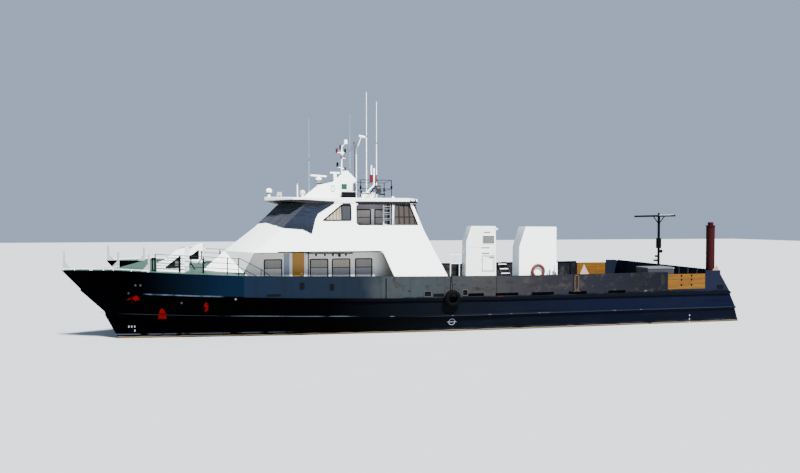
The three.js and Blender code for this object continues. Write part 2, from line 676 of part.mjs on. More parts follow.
const sideDoorBox = box(SIDE_DOOR.aft + RUN, SIDE_DOOR.fore - RUN, LOWER_WALL - SIDE_DOOR.thick, LOWER_WALL,
  SIDE_DOOR.sill + RUN, SIDE_DOOR.head - RUN);
addPair("side_door", hung(sideDoorBox, "X",
  { edge: SIDE_DOOR.fore - RUN, away: 1, face: LOWER_WALL, outward: 1 }, [2300, 3550]), "ochre");
const afterDoorBox = box(HOUSE_AFT, HOUSE_AFT + 40, -AFT_DOOR.half + RUN, AFT_DOOR.half - RUN,
  AFT_DOOR.sill + RUN, AFT_DOOR.head - RUN);
add("after_door", hung(afterDoorBox, "Y",
  { edge: AFT_DOOR.half - RUN, away: 1, face: HOUSE_AFT, outward: -1 }, [2150, 3400]), "white");
const wheelDoorBox = box(WHEEL_AFT, WHEEL_AFT + 40, -WHEEL_DOOR.half + RUN, WHEEL_DOOR.half - RUN,
  WHEEL_DOOR.sill + RUN, WHEEL_DOOR.head - RUN);
add("wheelhouse_door", hung(wheelDoorBox, "Y",
  { edge: WHEEL_DOOR.half - RUN, away: 1, face: WHEEL_AFT, outward: -1 }, [4450, 5600]), "white");

// Engine casings on deck, hollow, with an access hatch and a louvre on the inboard face
const CASING = { out: 4700, inn: 3830, wall: 50 };
const casingOutline = [[-4410, 1400], [-4440, 4100], [-4770, 5100], [-6420, 5090], [-6460, 1400]];
const casingInside = [[-4470, 1700], [-4500, 4080], [-4810, 5045], [-6365, 5040], [-6400, 1700]];
const HATCH = { aft: -6340, fore: -5520, low: 2200, high: 3230 };
const LOUVRE = { aft: -6320, fore: -5540, low: 3960, high: 4470 };

// A rail on deck that runs aft to the starboard casing; posts are [x, top]
const CASING_RAIL = { y: 4300, posts: [[-3530, 3330], [-4130, 3310]], bars: [2680, 3230], radius: 28 };

function casingRail() {
  const { y, posts, bars, radius } = CASING_RAIL;
  const [fore] = posts[0];
  return join(
    ...posts.map(([x, top]) => bar([x, y, deckAt(x) - SINK], [x, y, top], radius)),
    ...bars.map((z) => bar([fore, y, z], [casingOutline[0][0] - 40, y, z], radius)),
  );
}

function casing() {
  const shell = slab("XZ", casingOutline, CASING.inn, CASING.out);
  const room = slab("XZ", casingInside, CASING.inn + CASING.wall, CASING.out - CASING.wall);
  const hatchway = box(HATCH.aft, HATCH.fore, CASING.inn - 10, CASING.inn + 100, HATCH.low, HATCH.high);
  const recess = box(LOUVRE.aft, LOUVRE.fore, CASING.inn - 10, CASING.inn + 25, LOUVRE.low, LOUVRE.high);
  return cut(shell, room, hatchway, recess, ...deckCutters);
}

add("casing_port", casing(), "white");
add("casing_starboard", mirrored(join(casing(), cut(casingRail(), ...deckCutters))), "white");
const hatchBox = box(HATCH.aft + RUN, HATCH.fore - RUN, CASING.inn, CASING.inn + 30,
  HATCH.low + RUN, HATCH.high - RUN);
addPair("casing_hatch", hung(hatchBox, "X",
  { edge: HATCH.fore - RUN, away: 1, face: CASING.inn, outward: -1 }, [2450, 2980]), "white");

// Boarding steps up to the bulwark's top, aft of each casing: treads between two sloping cheeks
const BOARDING = { fore: -6900, aft: -7520, inn: 3700, out: 4820, cheek: 25, treads: [2020, 2300, 2580] };

function boardingSteps() {
  const { fore, aft, inn, out, cheek, treads } = BOARDING;
  const foot = deckAt(fore) - SINK;
  const top = treads[treads.length - 1];
  const side = [[inn, foot], [inn + 150, foot], [out, top - 60], [out, top + 20], [out - 180, top + 20]];
  const cheeks = [fore - cheek, aft].map((x) => slab("YZ", side, x, x + cheek));
  const steps = treads.map((z) => {
    const middle = inn + 75 + (out - inn - 150) * ((z - foot) / (top - foot));
    return box(aft + 1, fore - 1, middle - 110, Math.min(middle + 110, out), z - 30, z);
  });
  return cut(join(...cheeks, ...steps), ...deckCutters);
}

addPair("boarding_steps", boardingSteps(), "white");

// Companion hoods over the hulls on the foredeck, each with a window outboard and a door in its after face
const HOOD = { out: 4120, inn: 2720, aft: 11550, wall: 40 };
const hoodOutline = [[12750, 2900], [12750, 3480], [12420, 3620], [11950, 4030], [11620, 4140],
  [HOOD.aft, 4140], [HOOD.aft, 2900]];
const hoodInside = [[12705, 2900], [12705, 3450], [12395, 3585], [11925, 3990], [11600, 4095],
  [HOOD.aft + HOOD.wall, 4095], [HOOD.aft + HOOD.wall, 2900]];
const HOOD_DOOR = { half: 330, low: 3150, high: 3980 };

function hood() {
  const shell = slab("XZ", hoodOutline, HOOD.inn, HOOD.out);
  const room = slab("XZ", hoodInside, HOOD.inn + HOOD.wall, HOOD.out - HOOD.wall);
  const pane = rounded([[12380, 3260, 20], [11760, 3760, 20], [11760, 3260, 20]]);
  const middle = (HOOD.inn + HOOD.out) / 2;
  const doorway = box(HOOD.aft - 20, HOOD.aft + 100, middle - HOOD_DOOR.half, middle + HOOD_DOOR.half,
    HOOD_DOOR.low, HOOD_DOOR.high);
  const windows = slab("XZ", pane, HOOD.inn - 10, HOOD.out + 10);
  return cut(shell, room, doorway, windows, ...deckCutters);
}

addPair("hood", hood(), "white");
const hoodMiddle = (HOOD.inn + HOOD.out) / 2;
const hoodDoorBox = box(HOOD.aft, HOOD.aft + 30, hoodMiddle - HOOD_DOOR.half + RUN,
  hoodMiddle + HOOD_DOOR.half - RUN, HOOD_DOOR.low + RUN, HOOD_DOOR.high - RUN);
addPair("hood_door", hung(hoodDoorBox, "Y",
  { edge: hoodMiddle + HOOD_DOOR.half - RUN, away: 1, face: HOOD.aft, outward: -1 }, [3330, 3800]), "white");

// Rails: posts and lengthwise bars along a row of feet
function railing(feet, height, bars, radius, barRadius = radius * 0.8) {
  let body = null;
  const put = (piece) => {
    body = body ? body.add(piece) : piece;
  };
  feet.forEach(([x, y, z]) => put(bar([x, y, z], [x, y, z + height + radius / 2], radius)));
  for (let i = 0; i + 1 < feet.length; i++) {
    const [x0, y0, z0] = feet[i];
    const [x1, y1, z1] = feet[i + 1];
    bars.forEach((share) => {
      const up = height * share;
      put(bar([x0, y0, z0 + up], [x1, y1, z1 + up], barRadius));
    });
  }
  return body;
}

// Rail and steps from the foredeck down to the passage
const STEP = { count: 4, aft: 7420, inn: 4010, out: 4780, thick: 30 };
const RAIL_FEET = [[12800, 4200], [11750, 4200], [10730, 4200], [9670, 4200], [9140, STEP.out - 20]];
const RAIL = { height: 780, post: 28, bar: 16 };

function steps() {
  const top = heightOn("gunwale", BREAK + 600);
  const low = deckAt(STEP.aft) + 50;
  const wideRail = RAIL_FEET.map(([x, y]) => [x, y, heightOn("gunwale", x) - 20]);
  const last = wideRail[wideRail.length - 1];
  const railY = STEP.out - 20;
  const handRail = [last, [8150, railY, (top + low) / 2 - 60], [STEP.aft + 60, railY, low - 60]];
  let body = railing(wideRail, RAIL.height, [0.36, 0.68, 1], RAIL.post, RAIL.bar);
  body = body.add(railing(handRail, RAIL.height + 40, [0.5, 1], 22));
  [STEP.inn, STEP.out - 40].forEach((side) => {
    body = body.add(slab("XZ", [[BREAK - 1, top - 260], [BREAK - 1, top - 60], [STEP.aft, low + 120],
      [STEP.aft, low - 200], [STEP.aft + 200, low - 200]], side, side + 40));
  });
  for (let i = 1; i <= STEP.count; i++) {
    const share = i / (STEP.count + 1);
    const x = BREAK + (STEP.aft - BREAK) * share;
    const z = top - 60 + (low - top) * share;
    body = body.add(box(x - 130, x + 130, STEP.inn, STEP.out, z - STEP.thick, z));
  }
  return cut(body, ...deckCutters, portHull.translate([-GAP, 0, 0]));
}

addPair("steps", steps(), "grey");

// Toe rail and towing posts along the bow
const POSTS = [
  { x: 16740, y: 3610, height: 830, gusset: -330 },
  { x: 14680, y: 2790, height: 735, gusset: 330 },
  { x: 13000, y: 4560, height: 760, gusset: 330 },
];
const TOE = { inset: 45, height: 65, radius: 18 };
const hullEdge = levelRing("gunwale", 0, 0, raisedStations("gunwale")).outer;

// A point of the toe rail over the hull's outboard edge
function toeAt(x, height) {
  const i = hullEdge.findIndex((point) => point[0] < x);
  const [x0, y0, z0] = hullEdge[i - 1];
  const [x1, y1, z1] = hullEdge[i];
  const share = (x - x0) / (x1 - x0);
  return [x, y0 + (y1 - y0) * share - TOE.inset, z0 + (z1 - z0) * share + height];
}

function bowRail() {
  const stubs = [16740, ...raisedStations("gunwale").slice(1, 4), 15500, 14900, 13700, 13000];
  stubs.sort((a, b) => b - a);
  let body = railing(stubs.map((x) => toeAt(x, -30)), TOE.height + 30, [1], TOE.radius);
  POSTS.forEach(({ x, y, height, gusset }) => {
    const z = heightOn("gunwale", x);
    body = body.add(bar([x, y, z - 10], [x, y, z + height], 46, 8));
    body = body.add(slab("XZ", [[x, z - 10], [x + gusset, z - 10], [x, z + height * 0.5]], y - 12, y + 12));
    body = body.add(bar([x, y, z + TOE.height], toeAt(x, TOE.height), TOE.radius));
  });
  return cut(body, ...hullCutters, foredeck.translate([0, 0, GAP]));
}

addPair("bow_rail", bowRail(), "grey");

// Black mooring stands on the foredeck, inboard of the hoods: a post on two splayed legs
const STAND = { x: 11540, y: 2150, fork: 290, top: 700, spread: 200, post: 34, leg: 30 };

function mooringStand() {
  const { x, y, fork, top, spread, post, leg } = STAND;
  const z = heightOn("gunwale", x);
  return cut(join(
    bar([x, y, z + fork - 40], [x, y, z + top], post, 8),
    bar([x, y, z + fork], [x + spread, y, z - 40], leg, 8),
    bar([x, y, z + fork], [x - spread, y, z - 40], leg, 8),
    bar([x - 90, y, z + top - 60], [x + 90, y, z + top - 60], 26, 8),
  ), ...hullCutters, foredeck.translate([0, 0, GAP]));
}

addPair("mooring_stand", mooringStand(), "black");

// On the roof: mast housing, scanners, signal mast, aerials, rail
const housingOutline = [[6100, 6300], [6080, 6640], [5250, 7320], [4500, 7490], [4340, 7630], [4200, 7750],
  [3980, 7930], [3910, 8090], [3650, 8110], [3160, 7600], [3390, 7430], [3410, 6300]];
const SCANNERS = [
  { name: "scanner_fore", x: 5200, foot: 7330, z: 7840, reach: 540, turn: 36, drum: 145 },
  { name: "scanner_aft", x: 4310, foot: 7650, z: 8020, reach: 270, turn: 12, drum: 80 },
];
const LAMP_HEAD = { z: 10060, reach: 500 }; // of the second pole

// Poles at the housing's after face. Columns: x, y, top, radius
const POLES = [[3220, 0, 9350, 30], [3115, -140, 9290, 24]];
const HORN = { low: 9330, high: 9720, base: 40, mouth: 110 }; // on the first pole

function mastHousing() {
  let body = slab("XZ", housingOutline, -420, 420);
  SCANNERS.forEach(({ x, foot, z, drum }) => {
    body = join(body, bar([x, 0, foot - 120], [x, 0, z - 100], 90, 10),
      bar([x, 0, z - 100 - drum], [x, 0, z - 100], drum * 1.15, 12));
  });
  POLES.forEach(([x, y, top, radius]) => {
    body = join(body, bar([x, y, ROOF_UNDER + 100], [x, y, top], radius, 8),
      bar([x, y, 7000], [3450, y, 7000], 20), bar([x, y, 7500], [3450, y, 7500], 20));
  });
  const horn = new THREE.CylinderGeometry(HORN.mouth, HORN.base, HORN.high - HORN.low, 10);
  horn.rotateX(Math.PI / 2);
  body = body.add(solid(horn).translate([POLES[0][0], 0, (HORN.low + HORN.high) / 2]));
  const [x, y, top] = POLES[1];
  const lampArm = join(bar([x, y, top - 20], [x - 280, y, LAMP_HEAD.z], 18),
    bar([x - 150, y, LAMP_HEAD.z + 30], [x - LAMP_HEAD.reach, y, LAMP_HEAD.z - 40], 60, 8));
  return cut(join(body, lampArm), roofCutter);
}

const housing = add("mast_housing", mastHousing(), "white");
SCANNERS.forEach(({ name, x, z, reach, turn }) => {
  const arm = box(-reach, reach, -45, 45, -35, 45);
  const hub = bar([0, 0, -100 + GAP], [0, 0, -20], 75, 10);
  add(name, join(arm, hub).rotate([0, 0, turn]).translate([x, 0, z]), "white");
});

const MAST = { x: 3940, foot: 8000, top: 9500, radius: 34 };
// Arms of the signal mast, fore and aft. Columns: fore end, its height, after end, its height
const MAST_ARMS = [[4200, 8360, 3760, 8240], [4000, 8830, 3700, 8830], [4210, 9130, 3710, 9130],
  [3940, 9440, 3720, 9640]];
// Its lamps and domes. Columns: x, foot, top, radius
const MAST_LAMPS = [[4170, 8340, 8590, 60], [3760, 8200, 8330, 50], [3740, 8820, 8960, 50],
  [4210, 9110, 9350, 58], [3750, 9110, 9340, 50], [4010, 9280, 9540, 62], [3720, 9600, 9830, 95]];

function signalMast() {
  const { x, foot, top, radius } = MAST;
  const arms = MAST_ARMS.map(([fore, foreZ, aft, aftZ]) => bar([fore, 0, foreZ], [aft, 0, aftZ], 22));
  const lamps = MAST_LAMPS.map(([at, low, high, round]) => bar([at, 0, low], [at, 0, high], round, 8));
  const yard = bar([x, -380, 8980], [x, 380, 8980], 22);
  const ends = [-380, 380].map((y) => bar([x, y, 8970], [x, y, 9150], 50, 8));
  return cut(join(bar([x, 0, foot], [x, 0, top], radius, 8), ...arms, ...lamps, yard, ...ends),
    housing.translate([0, 0, GAP]));
}

add("signal_mast", signalMast(), "white");

// Columns: x, y, height of the tip
const AERIALS = [[5630, -1500, 11210], [3330, -1300, 11460], [2570, 0, 12480], [2060, 300, 11900]];
AERIALS.forEach(([x, y, tip], i) => {
  const whip = join(bar([x, y, 6450], [x, y, 8200], 28), bar([x, y, 8190], [x, y, tip], 16));
  add("aerial_" + (i + 1), cut(whip, roofCutter), "white");
});

const CAGE = { fore: 3050, aft: 1380, half: 1100, foot: 6540, height: 1040 }; // the roof rail
const SEARCHLIGHT = { fore: 2230, aft: 2010, z: 7060, radius: 210 };
// Lamp boxes on the rail's port bar. Columns: after end, fore end, foot, top
const LAMP_BOXES = [[2370, 2560, 7450, 7860], [2180, 2260, 7450, 7860]];

function roofRail() {
  const { fore, aft, half, foot, height } = CAGE;
  const corners = [[fore, half], [fore, -half], [aft, -half], [aft, half], [fore, half]];
  const feet = corners.map(([x, y]) => [x, y, foot]);
  const { z, radius } = SEARCHLIGHT;
  const lamps = LAMP_BOXES.map(([low, high, z0, z1]) => box(low, high, half - 60, half + 60, z0, z1));
  return cut(join(railing(feet, height, [0.55, 1], 24), ...lamps,
    bar([SEARCHLIGHT.aft, half, z], [SEARCHLIGHT.fore, half, z], radius, 12),
    bar([SEARCHLIGHT.fore - 100, half, z], [SEARCHLIGHT.fore - 100, half, foot + height], 22)), roofCutter);
}

add("roof_rail", roofRail(), "black");

// Ladder from the port wing to the roof edge
function wingLadder() {
  const [aft, fore, y] = [1930, 2280, 3700];
  let body = bar([aft, y, UPPER_DECK + GAP], [aft, y, ROOF_UNDER - 20], 22).add(
    bar([fore, y, UPPER_DECK + GAP], [fore, y, ROOF_UNDER - 20], 22));
  for (let z = 4300; z < 6200; z += 280) body = body.add(bar([aft, y, z], [fore, y, z], 16));
  return body;
}

add("wing_ladder", wingLadder(), "white");

// Slatted screens that close the after end of the wings
function wingScreen() {
  const screen = slab("XZ", [[1540, SILL - 300], [1540, 6200], [760, 6200], [520, SILL - 300]],
    SIDE_FOOT - PLATE - 30, SIDE_FOOT - PLATE - GAP);
  return lean(screen);
}

addPair("wing_screen", wingScreen(), "slats");

// Stern gear
function sternMast() {
  const [x, y, top] = [STERN_PLATE + 260, 0, 5770];
  const foot = deckAt(x) - SINK;
  const body = join(
    bar([x, y, foot], [x, y, top], 75, 10),
    bar([x, y, 3750], [x, y, 4360], 155, 10), // the light's housing
    box(x - 50, x + 50, -2500, 1500, top - 100, top),
    bar([x, y, top - 550], [x, y - 550, top - 60], 30),
    bar([x, y, top - 550], [x, y + 550, top - 60], 30),
    box(x - 150, x + 150, y - 150, y + 150, foot, foot + 40),
  );
  return cut(body, ...deckCutters);
}

add("stern_mast", sternMast(), "black");

function quarterPost() {
  const [x, y, half] = [-15480, 4550, 220];
  const foot = deckAt(x) - SINK;
  const body = join(
    bar([x, y, foot], [x, y, 5130], half, 12),
    bar([x, y, 5110], [x, y, 5160], half + 35, 12),
    bar([x, y, 5150], [x, y, 5330], half * 0.66, 12),
  );
  return cut(body, ...deckCutters);
}

add("quarter_post", quarterPost(), "red");
add("deck_box", cut(box(-13170, -11640, 3650, 4700, deckAt(-12000) - SINK, 2930), ...deckCutters), "grey");
const LIFEBUOY = { radius: 305, tube: 60, x: -5420, z: 2860 };
add("lifebuoy", ring(LIFEBUOY.radius, LIFEBUOY.tube).rotate([90, 0, 0])
  .translate([LIFEBUOY.x, CASING.out + LIFEBUOY.tube + GAP, LIFEBUOY.z]), "orange");

const FENDER = { x: -850, z: 1640, radius: 285, tube: 125 };
const fenderY = HALF_BEAM + STRAKE.proud + FENDER.tube + 2 * GAP;
const fenderTop = heightOn("gunwale", FENDER.x) + 15;
add("tyre_fender", join(
  ring(FENDER.radius, FENDER.tube).rotate([90, 0, 0]).translate([FENDER.x, fenderY, FENDER.z]),
  bar([FENDER.x, fenderY, FENDER.z + 300], [FENDER.x, HALF_BEAM + 25, fenderTop + 10], 14),
  bar([FENDER.x, HALF_BEAM + 25, fenderTop], [FENDER.x, HALF_BEAM - 150, fenderTop], 14),
), "rubber");

// Shafts, propellers and rudders
const SHAFT = { z: -1060, radius: 55, hull: -8200, bracket: -14600, hub: -14800 };
const PROPELLER = { radius: 450, hub: 100, blades: 4 };
const RUDDER = { fore: -15860, aft: -16600, low: -1480, high: -620 };

function shaftLine() {
  const body = join(
    bar([SHAFT.hull, HULL_AXIS, SHAFT.z], [SHAFT.hub + GAP, HULL_AXIS, SHAFT.z], SHAFT.radius, 10),
    bar([SHAFT.bracket + 150, HULL_AXIS, SHAFT.z], [SHAFT.bracket - 150, HULL_AXIS, SHAFT.z], 95, 10),
    slab("XZ", [[SHAFT.bracket + 120, SHAFT.z], [SHAFT.bracket + 200, -300], [SHAFT.bracket - 120, -300],
      [SHAFT.bracket - 100, SHAFT.z]], HULL_AXIS - 25, HULL_AXIS + 25),
  );
  return cut(body, portHull.translate([0, 0, -GAP]));
}

addPair("shaft_line", shaftLine(), "grey");

function propeller() {
  const cone = new THREE.CylinderGeometry(PROPELLER.hub * 0.55, PROPELLER.hub, 260, 12);
  let body = solid(cone).rotate([0, 0, 90]).translate([-130, 0, 0]);
  const disc = new THREE.CylinderGeometry(170, 170, 36, 12);
  const blade = solid(disc).scale([1, 1, 1.35]).rotate([0, 0, 90])
    .translate([0, 0, PROPELLER.radius - 229]).rotate([0, 0, 35]);
  for (let i = 0; i < PROPELLER.blades; i++) {
    body = body.add(blade.rotate([i * 360 / PROPELLER.blades, 0, 0]).translate([-125, 0, 0]));
  }
  return body.translate([SHAFT.hub, HULL_AXIS, SHAFT.z]);
}

addPair("propeller", propeller(), "bronze");

function rudder() {
  const { fore, aft, low, high } = RUDDER;
  const blade = slab("XZ", [[fore, high], [aft, high], [aft + 60, low], [fore, low]],
    HULL_AXIS - 35, HULL_AXIS + 35);
  const stock = bar([TRUNK.x, HULL_AXIS, low + 200], [TRUNK.x, HULL_AXIS, TRUNK.foot - GAP], 55, 10);
  return join(blade, stock);
}

addPair("rudder", rudder(), "hull");

export default vessel;
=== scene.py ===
"""Looks for a 34 m catamaran offshore supply vessel: paint, glass, canvas and the small fittings.

Metres, in the CAD model's frame: +X is the bow, +Y is port, +Z is up; the origin is on the waterline.
"""

import math

import bmesh
import bpy
from mathutils import Matrix, Vector, noise


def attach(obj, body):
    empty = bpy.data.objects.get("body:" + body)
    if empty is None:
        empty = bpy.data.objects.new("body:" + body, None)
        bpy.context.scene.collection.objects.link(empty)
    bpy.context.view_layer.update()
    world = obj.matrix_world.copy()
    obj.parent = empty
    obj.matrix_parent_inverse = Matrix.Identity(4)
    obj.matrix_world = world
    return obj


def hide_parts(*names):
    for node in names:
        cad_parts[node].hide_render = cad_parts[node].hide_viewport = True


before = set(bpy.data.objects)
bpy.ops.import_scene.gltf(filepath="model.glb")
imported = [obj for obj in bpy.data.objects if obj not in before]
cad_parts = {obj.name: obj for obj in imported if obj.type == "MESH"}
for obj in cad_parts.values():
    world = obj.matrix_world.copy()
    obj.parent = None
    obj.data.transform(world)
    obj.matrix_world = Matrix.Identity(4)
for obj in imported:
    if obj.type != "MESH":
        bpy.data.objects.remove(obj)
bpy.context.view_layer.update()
HULL = "vessel"
SIDES = (("port", 1), ("starboard", -1))

# Driving dimensions, as in the CAD source
HALF_BEAM = 4.93
TUMBLE = 0.19
TUMBLE_FOOT = 2.75
SIDE_FOOT = 4.90
SIDE_PLATE = 0.06
DECK_FOOT = 1.66
UPPER_DECK = 4.02
ROOF_UNDER = 6.24
LOWER_WALL = 3.95
WHEEL_WALL = 3.43
HOUSE_AFT = 0.60
WHEEL_AFT = 2.05
CASING_INN = 3.83
CASING_OUT = 4.70
CASING_AFT = -6.46
HOOD_OUT = 4.12
HOOD_INN = 2.72
HOOD_AFT = 11.55

# Camera, floor and lights
CAMERA = {"place": (7.5, 32.835, 5.24), "heading": 11.73, "pitch": 1.21, "lens": 27.0, "sensor": 36.0}
CLIP = (0.5, 500.0)
SUN = {"energy": 19.5, "colour": (1.0, 0.985, 0.95), "travel": (0.2, -0.5, -0.84), "size": 0.12}
FILL = {"energy": 0.5, "colour": (0.78, 0.86, 1.0), "travel": (-0.8, -0.75, -0.5), "size": 0.9}
SKY = {"colour": (188, 208, 240), "strength": 0.75}
FLOOR = {"reach": 150.0, "tones": ((150, 154, 158), (158, 161, 164))}


def place(name, data):
    obj = bpy.data.objects.new(name, data)
    bpy.context.scene.collection.objects.link(obj)
    return obj


def make_camera():
    data = bpy.data.cameras.new("camera")
    data.lens = CAMERA["lens"]
    data.sensor_width = CAMERA["sensor"]
    data.clip_start, data.clip_end = CLIP
    camera = place("camera", data)
    heading, pitch = math.radians(CAMERA["heading"]), math.radians(CAMERA["pitch"])
    level = math.cos(pitch)
    ahead = Vector((-math.sin(heading) * level, -math.cos(heading) * level, -math.sin(pitch)))
    camera.location = CAMERA["place"]
    camera.rotation_euler = ahead.to_track_quat("-Z", "Y").to_euler()
    bpy.context.scene.camera = camera


def make_sun(name, energy, colour, travel, size):
    data = bpy.data.lights.new(name, "SUN")
    data.energy = energy
    data.color = colour
    data.angle = size
    place(name, data).rotation_euler = Vector(travel).to_track_quat("-Z", "Y").to_euler()


def linear(colour):
    """An sRGB colour of 0 to 255 as linear RGBA."""
    parts = [c / 255 for c in colour]
    return tuple(c / 12.92 if c <= 0.04045 else ((c + 0.055) / 1.055) ** 2.4 for c in parts) + (1.0,)


def make_stage():
    world = bpy.data.worlds.new("sky")
    bpy.context.scene.world = world
    world.use_nodes = True
    background = world.node_tree.nodes["Background"]
    background.inputs["Color"].default_value = linear(SKY["colour"])
    background.inputs["Strength"].default_value = SKY["strength"]
    make_sun("key", **SUN)
    make_sun("fill", **FILL)
    reach = FLOOR["reach"]
    mesh = bpy.data.meshes.new("floor")
    corners = [(-reach, -reach, 0), (reach, -reach, 0), (reach, reach, 0), (-reach, reach, 0)]
    mesh.from_pydata(corners, [], [(0, 1, 2, 3)])
    place("floor", mesh)
    paint = Paint("floor", Roughness=0.9, Specular_IOR_Level=0.1)
    paint.colour(paint.mix(paint.noise(0.6), *FLOOR["tones"]))
    mesh.materials.append(paint.material)


# Materials, made of nodes
class Value:
    """What a node puts out. Sums, differences and products of values are nodes too."""

    def __init__(self, paint, socket):
        self.paint = paint
        self.socket = socket

    def __add__(self, other):
        return self.paint.math("ADD", self, other)

    def __sub__(self, other):
        return self.paint.math("SUBTRACT", self, other)

    def __rsub__(self, other):
        return self.paint.math("SUBTRACT", other, self)

    def __mul__(self, other):
        return self.paint.math("MULTIPLY", self, other)

    def __abs__(self):
        return self.paint.math("ABSOLUTE", self)

    __radd__ = __add__
    __rmul__ = __mul__


class Paint:
    """A Principled material and short names for the nodes that feed it. Positions are in metres."""

    def __init__(self, name, **values):
        self.material = bpy.data.materials.new(name)
        self.material.use_nodes = True
        self.tree = self.material.node_tree
        self.shader = self.tree.nodes["Principled BSDF"]
        self.place = self.take("TexCoord", {}, "Object")
        self.x, self.y, self.z = self.split(self.place)
        for key, value in values.items():
            self.shader.inputs[key.replace("_", " ")].default_value = value

    def feed(self, socket, value):
        if isinstance(value, Value):
            self.tree.links.new(value.socket, socket)
        elif isinstance(value, tuple) and socket.type == "RGBA":
            socket.default_value = linear(value)
        else:
            socket.default_value = value

    def take(self, kind, inputs, output=0, **settings):
        """Adds a node, feeds its inputs with values, colours or links, and returns one of its outputs."""
        node = self.tree.nodes.new("ShaderNode" + kind)
        for key, value in settings.items():
            setattr(node, key, value)
        for key, value in inputs.items():
            self.feed(node.inputs[key], value)
        return Value(self, node.outputs[output])

    def split(self, vector):
        node = self.take("SeparateXYZ", {0: vector}).socket.node
        return [Value(self, socket) for socket in node.outputs]

    def math(self, operation, *values, clamp=False):
        return self.take("Math", dict(enumerate(values)), operation=operation, use_clamp=clamp)

    def noise(self, scale, stretch=(1, 1, 1), detail=4.0, roughness=0.55):
        spot = self.take("Mapping", {"Vector": self.place, "Scale": stretch})
        inputs = {"Vector": spot, "Scale": scale, "Detail": detail, "Roughness": roughness}
        return self.take("TexNoise", inputs, "Fac")

    def rise(self, value, low, high):
        """0 below low, 1 above high, smooth between; falls instead where low is above high."""
        ends = {"From Min": min(low, high), "From Max": max(low, high)}
        ends.update({"To Min": float(low > high), "To Max": float(low <= high)})
        return self.take("MapRange", {"Value": value, **ends}, "Result", interpolation_type="SMOOTHSTEP")

    def blots(self, scale, low, high, **how):
        """Noise, cut to blots."""
        return self.rise(self.noise(scale, **how), low, high)

    def sway(self, scale, reach, **how):
        """Noise about nought."""
        return (self.noise(scale, **how) - 0.5) * reach

    def band(self, value, low, high, soft):
        return self.rise(value, low - soft, low + soft) * self.rise(value, high + soft, high - soft)

    def patch(self, x0, x1, z0, z1, soft=0.02):
        """A rectangle on the ship's side, as a share of 0 to 1."""
        return self.band(self.x, x0, x1, soft) * self.band(self.z, z0, z1, soft)

    def torn_patch(self, x0, x1, z0, z1, soft=0.02):
        """A rectangle with torn edges."""
        tear = self.sway(6.0, 0.5, detail=3.0)
        return self.band(self.x + tear, x0, x1, soft) * self.band(self.z - tear, z0, z1, soft)

    def ramp(self, value, stops):
        """A colour that runs through stops (value, colour)."""
        low, high = stops[0][0], stops[-1][0]
        share = self.math("DIVIDE", value - low, high - low, clamp=True)
        made = self.take("ValToRGB", {0: share})
        elements = made.socket.node.color_ramp.elements
        for i, (at, colour) in enumerate(stops):
            spot = (at - low) / (high - low)
            element = elements[i] if i < 2 else elements.new(spot)
            element.position = spot
            element.color = linear(colour)
        return made

    def mix(self, share, a, b):
        return self.take("Mix", {0: share, 6: a, 7: b}, 2, data_type="RGBA")

    def over(self, colour, marks):
        """Lays marks, each (share, strength, colour), over a colour."""
        for share, strength, mark in marks:
            colour = self.mix(share * strength, colour, mark)
        return colour

    def tilt(self):
        """The upward part of the face's normal."""
        return self.split(self.take("NewGeometry", {}, "Normal"))[2]

    def upward(self):
        """1 on faces that look up."""
        return self.rise(self.tilt(), 0.6, 0.8)

    def colour(self, value):
        self.feed(self.shader.inputs["Base Color"], value)
        return self

    def bump(self, height, distance, strength):
        made = self.take("Bump", {"Distance": distance, "Strength": strength, "Height": height})
        self.feed(self.shader.inputs["Normal"], made)
        return self


# Fineness of the wear on plain paints
GRAIN = 6.0


def weathered(name, colour, worn, share, **values):
    """Paint whose tone wanders, with streaks down it and a worn colour in places."""
    paint = Paint(name, **values)
    wander = paint.blots(GRAIN * 0.2, 0.35, 0.75, detail=6.0)
    streaks = paint.blots(GRAIN, 0.5, 0.75, stretch=(1, 1, 0.08))
    paint.colour(paint.over(colour, [(wander, share, worn), (streaks, 0.15, worn)]))
    return paint.bump(paint.noise(GRAIN * 5), 0.002, 0.3).material


DECK_GREEN = (42, 65, 57)
BLACK = (3, 3, 5)
MARK_RED = (126, 6, 4)
MARK_WHITE = (140, 148, 160)
LOAD_LINE = {"x": -0.89, "z": 0.47, "radius": 0.15, "half": 0.011, "reach": 0.23, "soft": 0.006}
# Draft ticks. Columns: x, height
DRAFT_TICKS = [(14.065, 0.55), (13.94, 0.55), (13.81, 0.55), (13.81, 0.36), (-13.97, 0.40), (-13.97, 0.20),
               (-13.97, 0.04)]
# Half width, half height and softness of a tick and of a spot
TICK, SPOT = (0.025, 0.045, 0.008), (0.035, 0.04, 0.02)
# Worn spots. Columns: x, height, brightness
HULL_SPOTS = [(13.57, 2.52, 0.35), (13.35, 2.52, 0.3), (11.63, 1.69, 0.6), (9.26, 1.85, 0.7),
              (13.9, 2.16, 0.2)]
# Patches of red lead with torn edges. Columns: x from, x to, z from, z to, strength
RED_PATCHES = [(13.46, 13.76, 1.78, 2.0, 1.0), (13.62, 13.96, 1.85, 1.91, 0.8),
               (10.49, 10.62, 1.32, 1.7, 1.0)]
RED_BELL = {"middle": 12.545, "foot": 0.92, "top": 1.46, "half": 0.2}
# The hulls' knuckles. Columns: height aft, x where it starts to rise, slope forward of there
LOWER_KNUCKLE = (0.775, 0.0, 0.024)
UPPER_KNUCKLE = (1.64, 3.0, 0.046)
HULL_GLOSS = [(-17, (56, 56, 56)), (0, (46, 46, 46)), (5, (18, 18, 18)), (17, (10, 10, 10))]
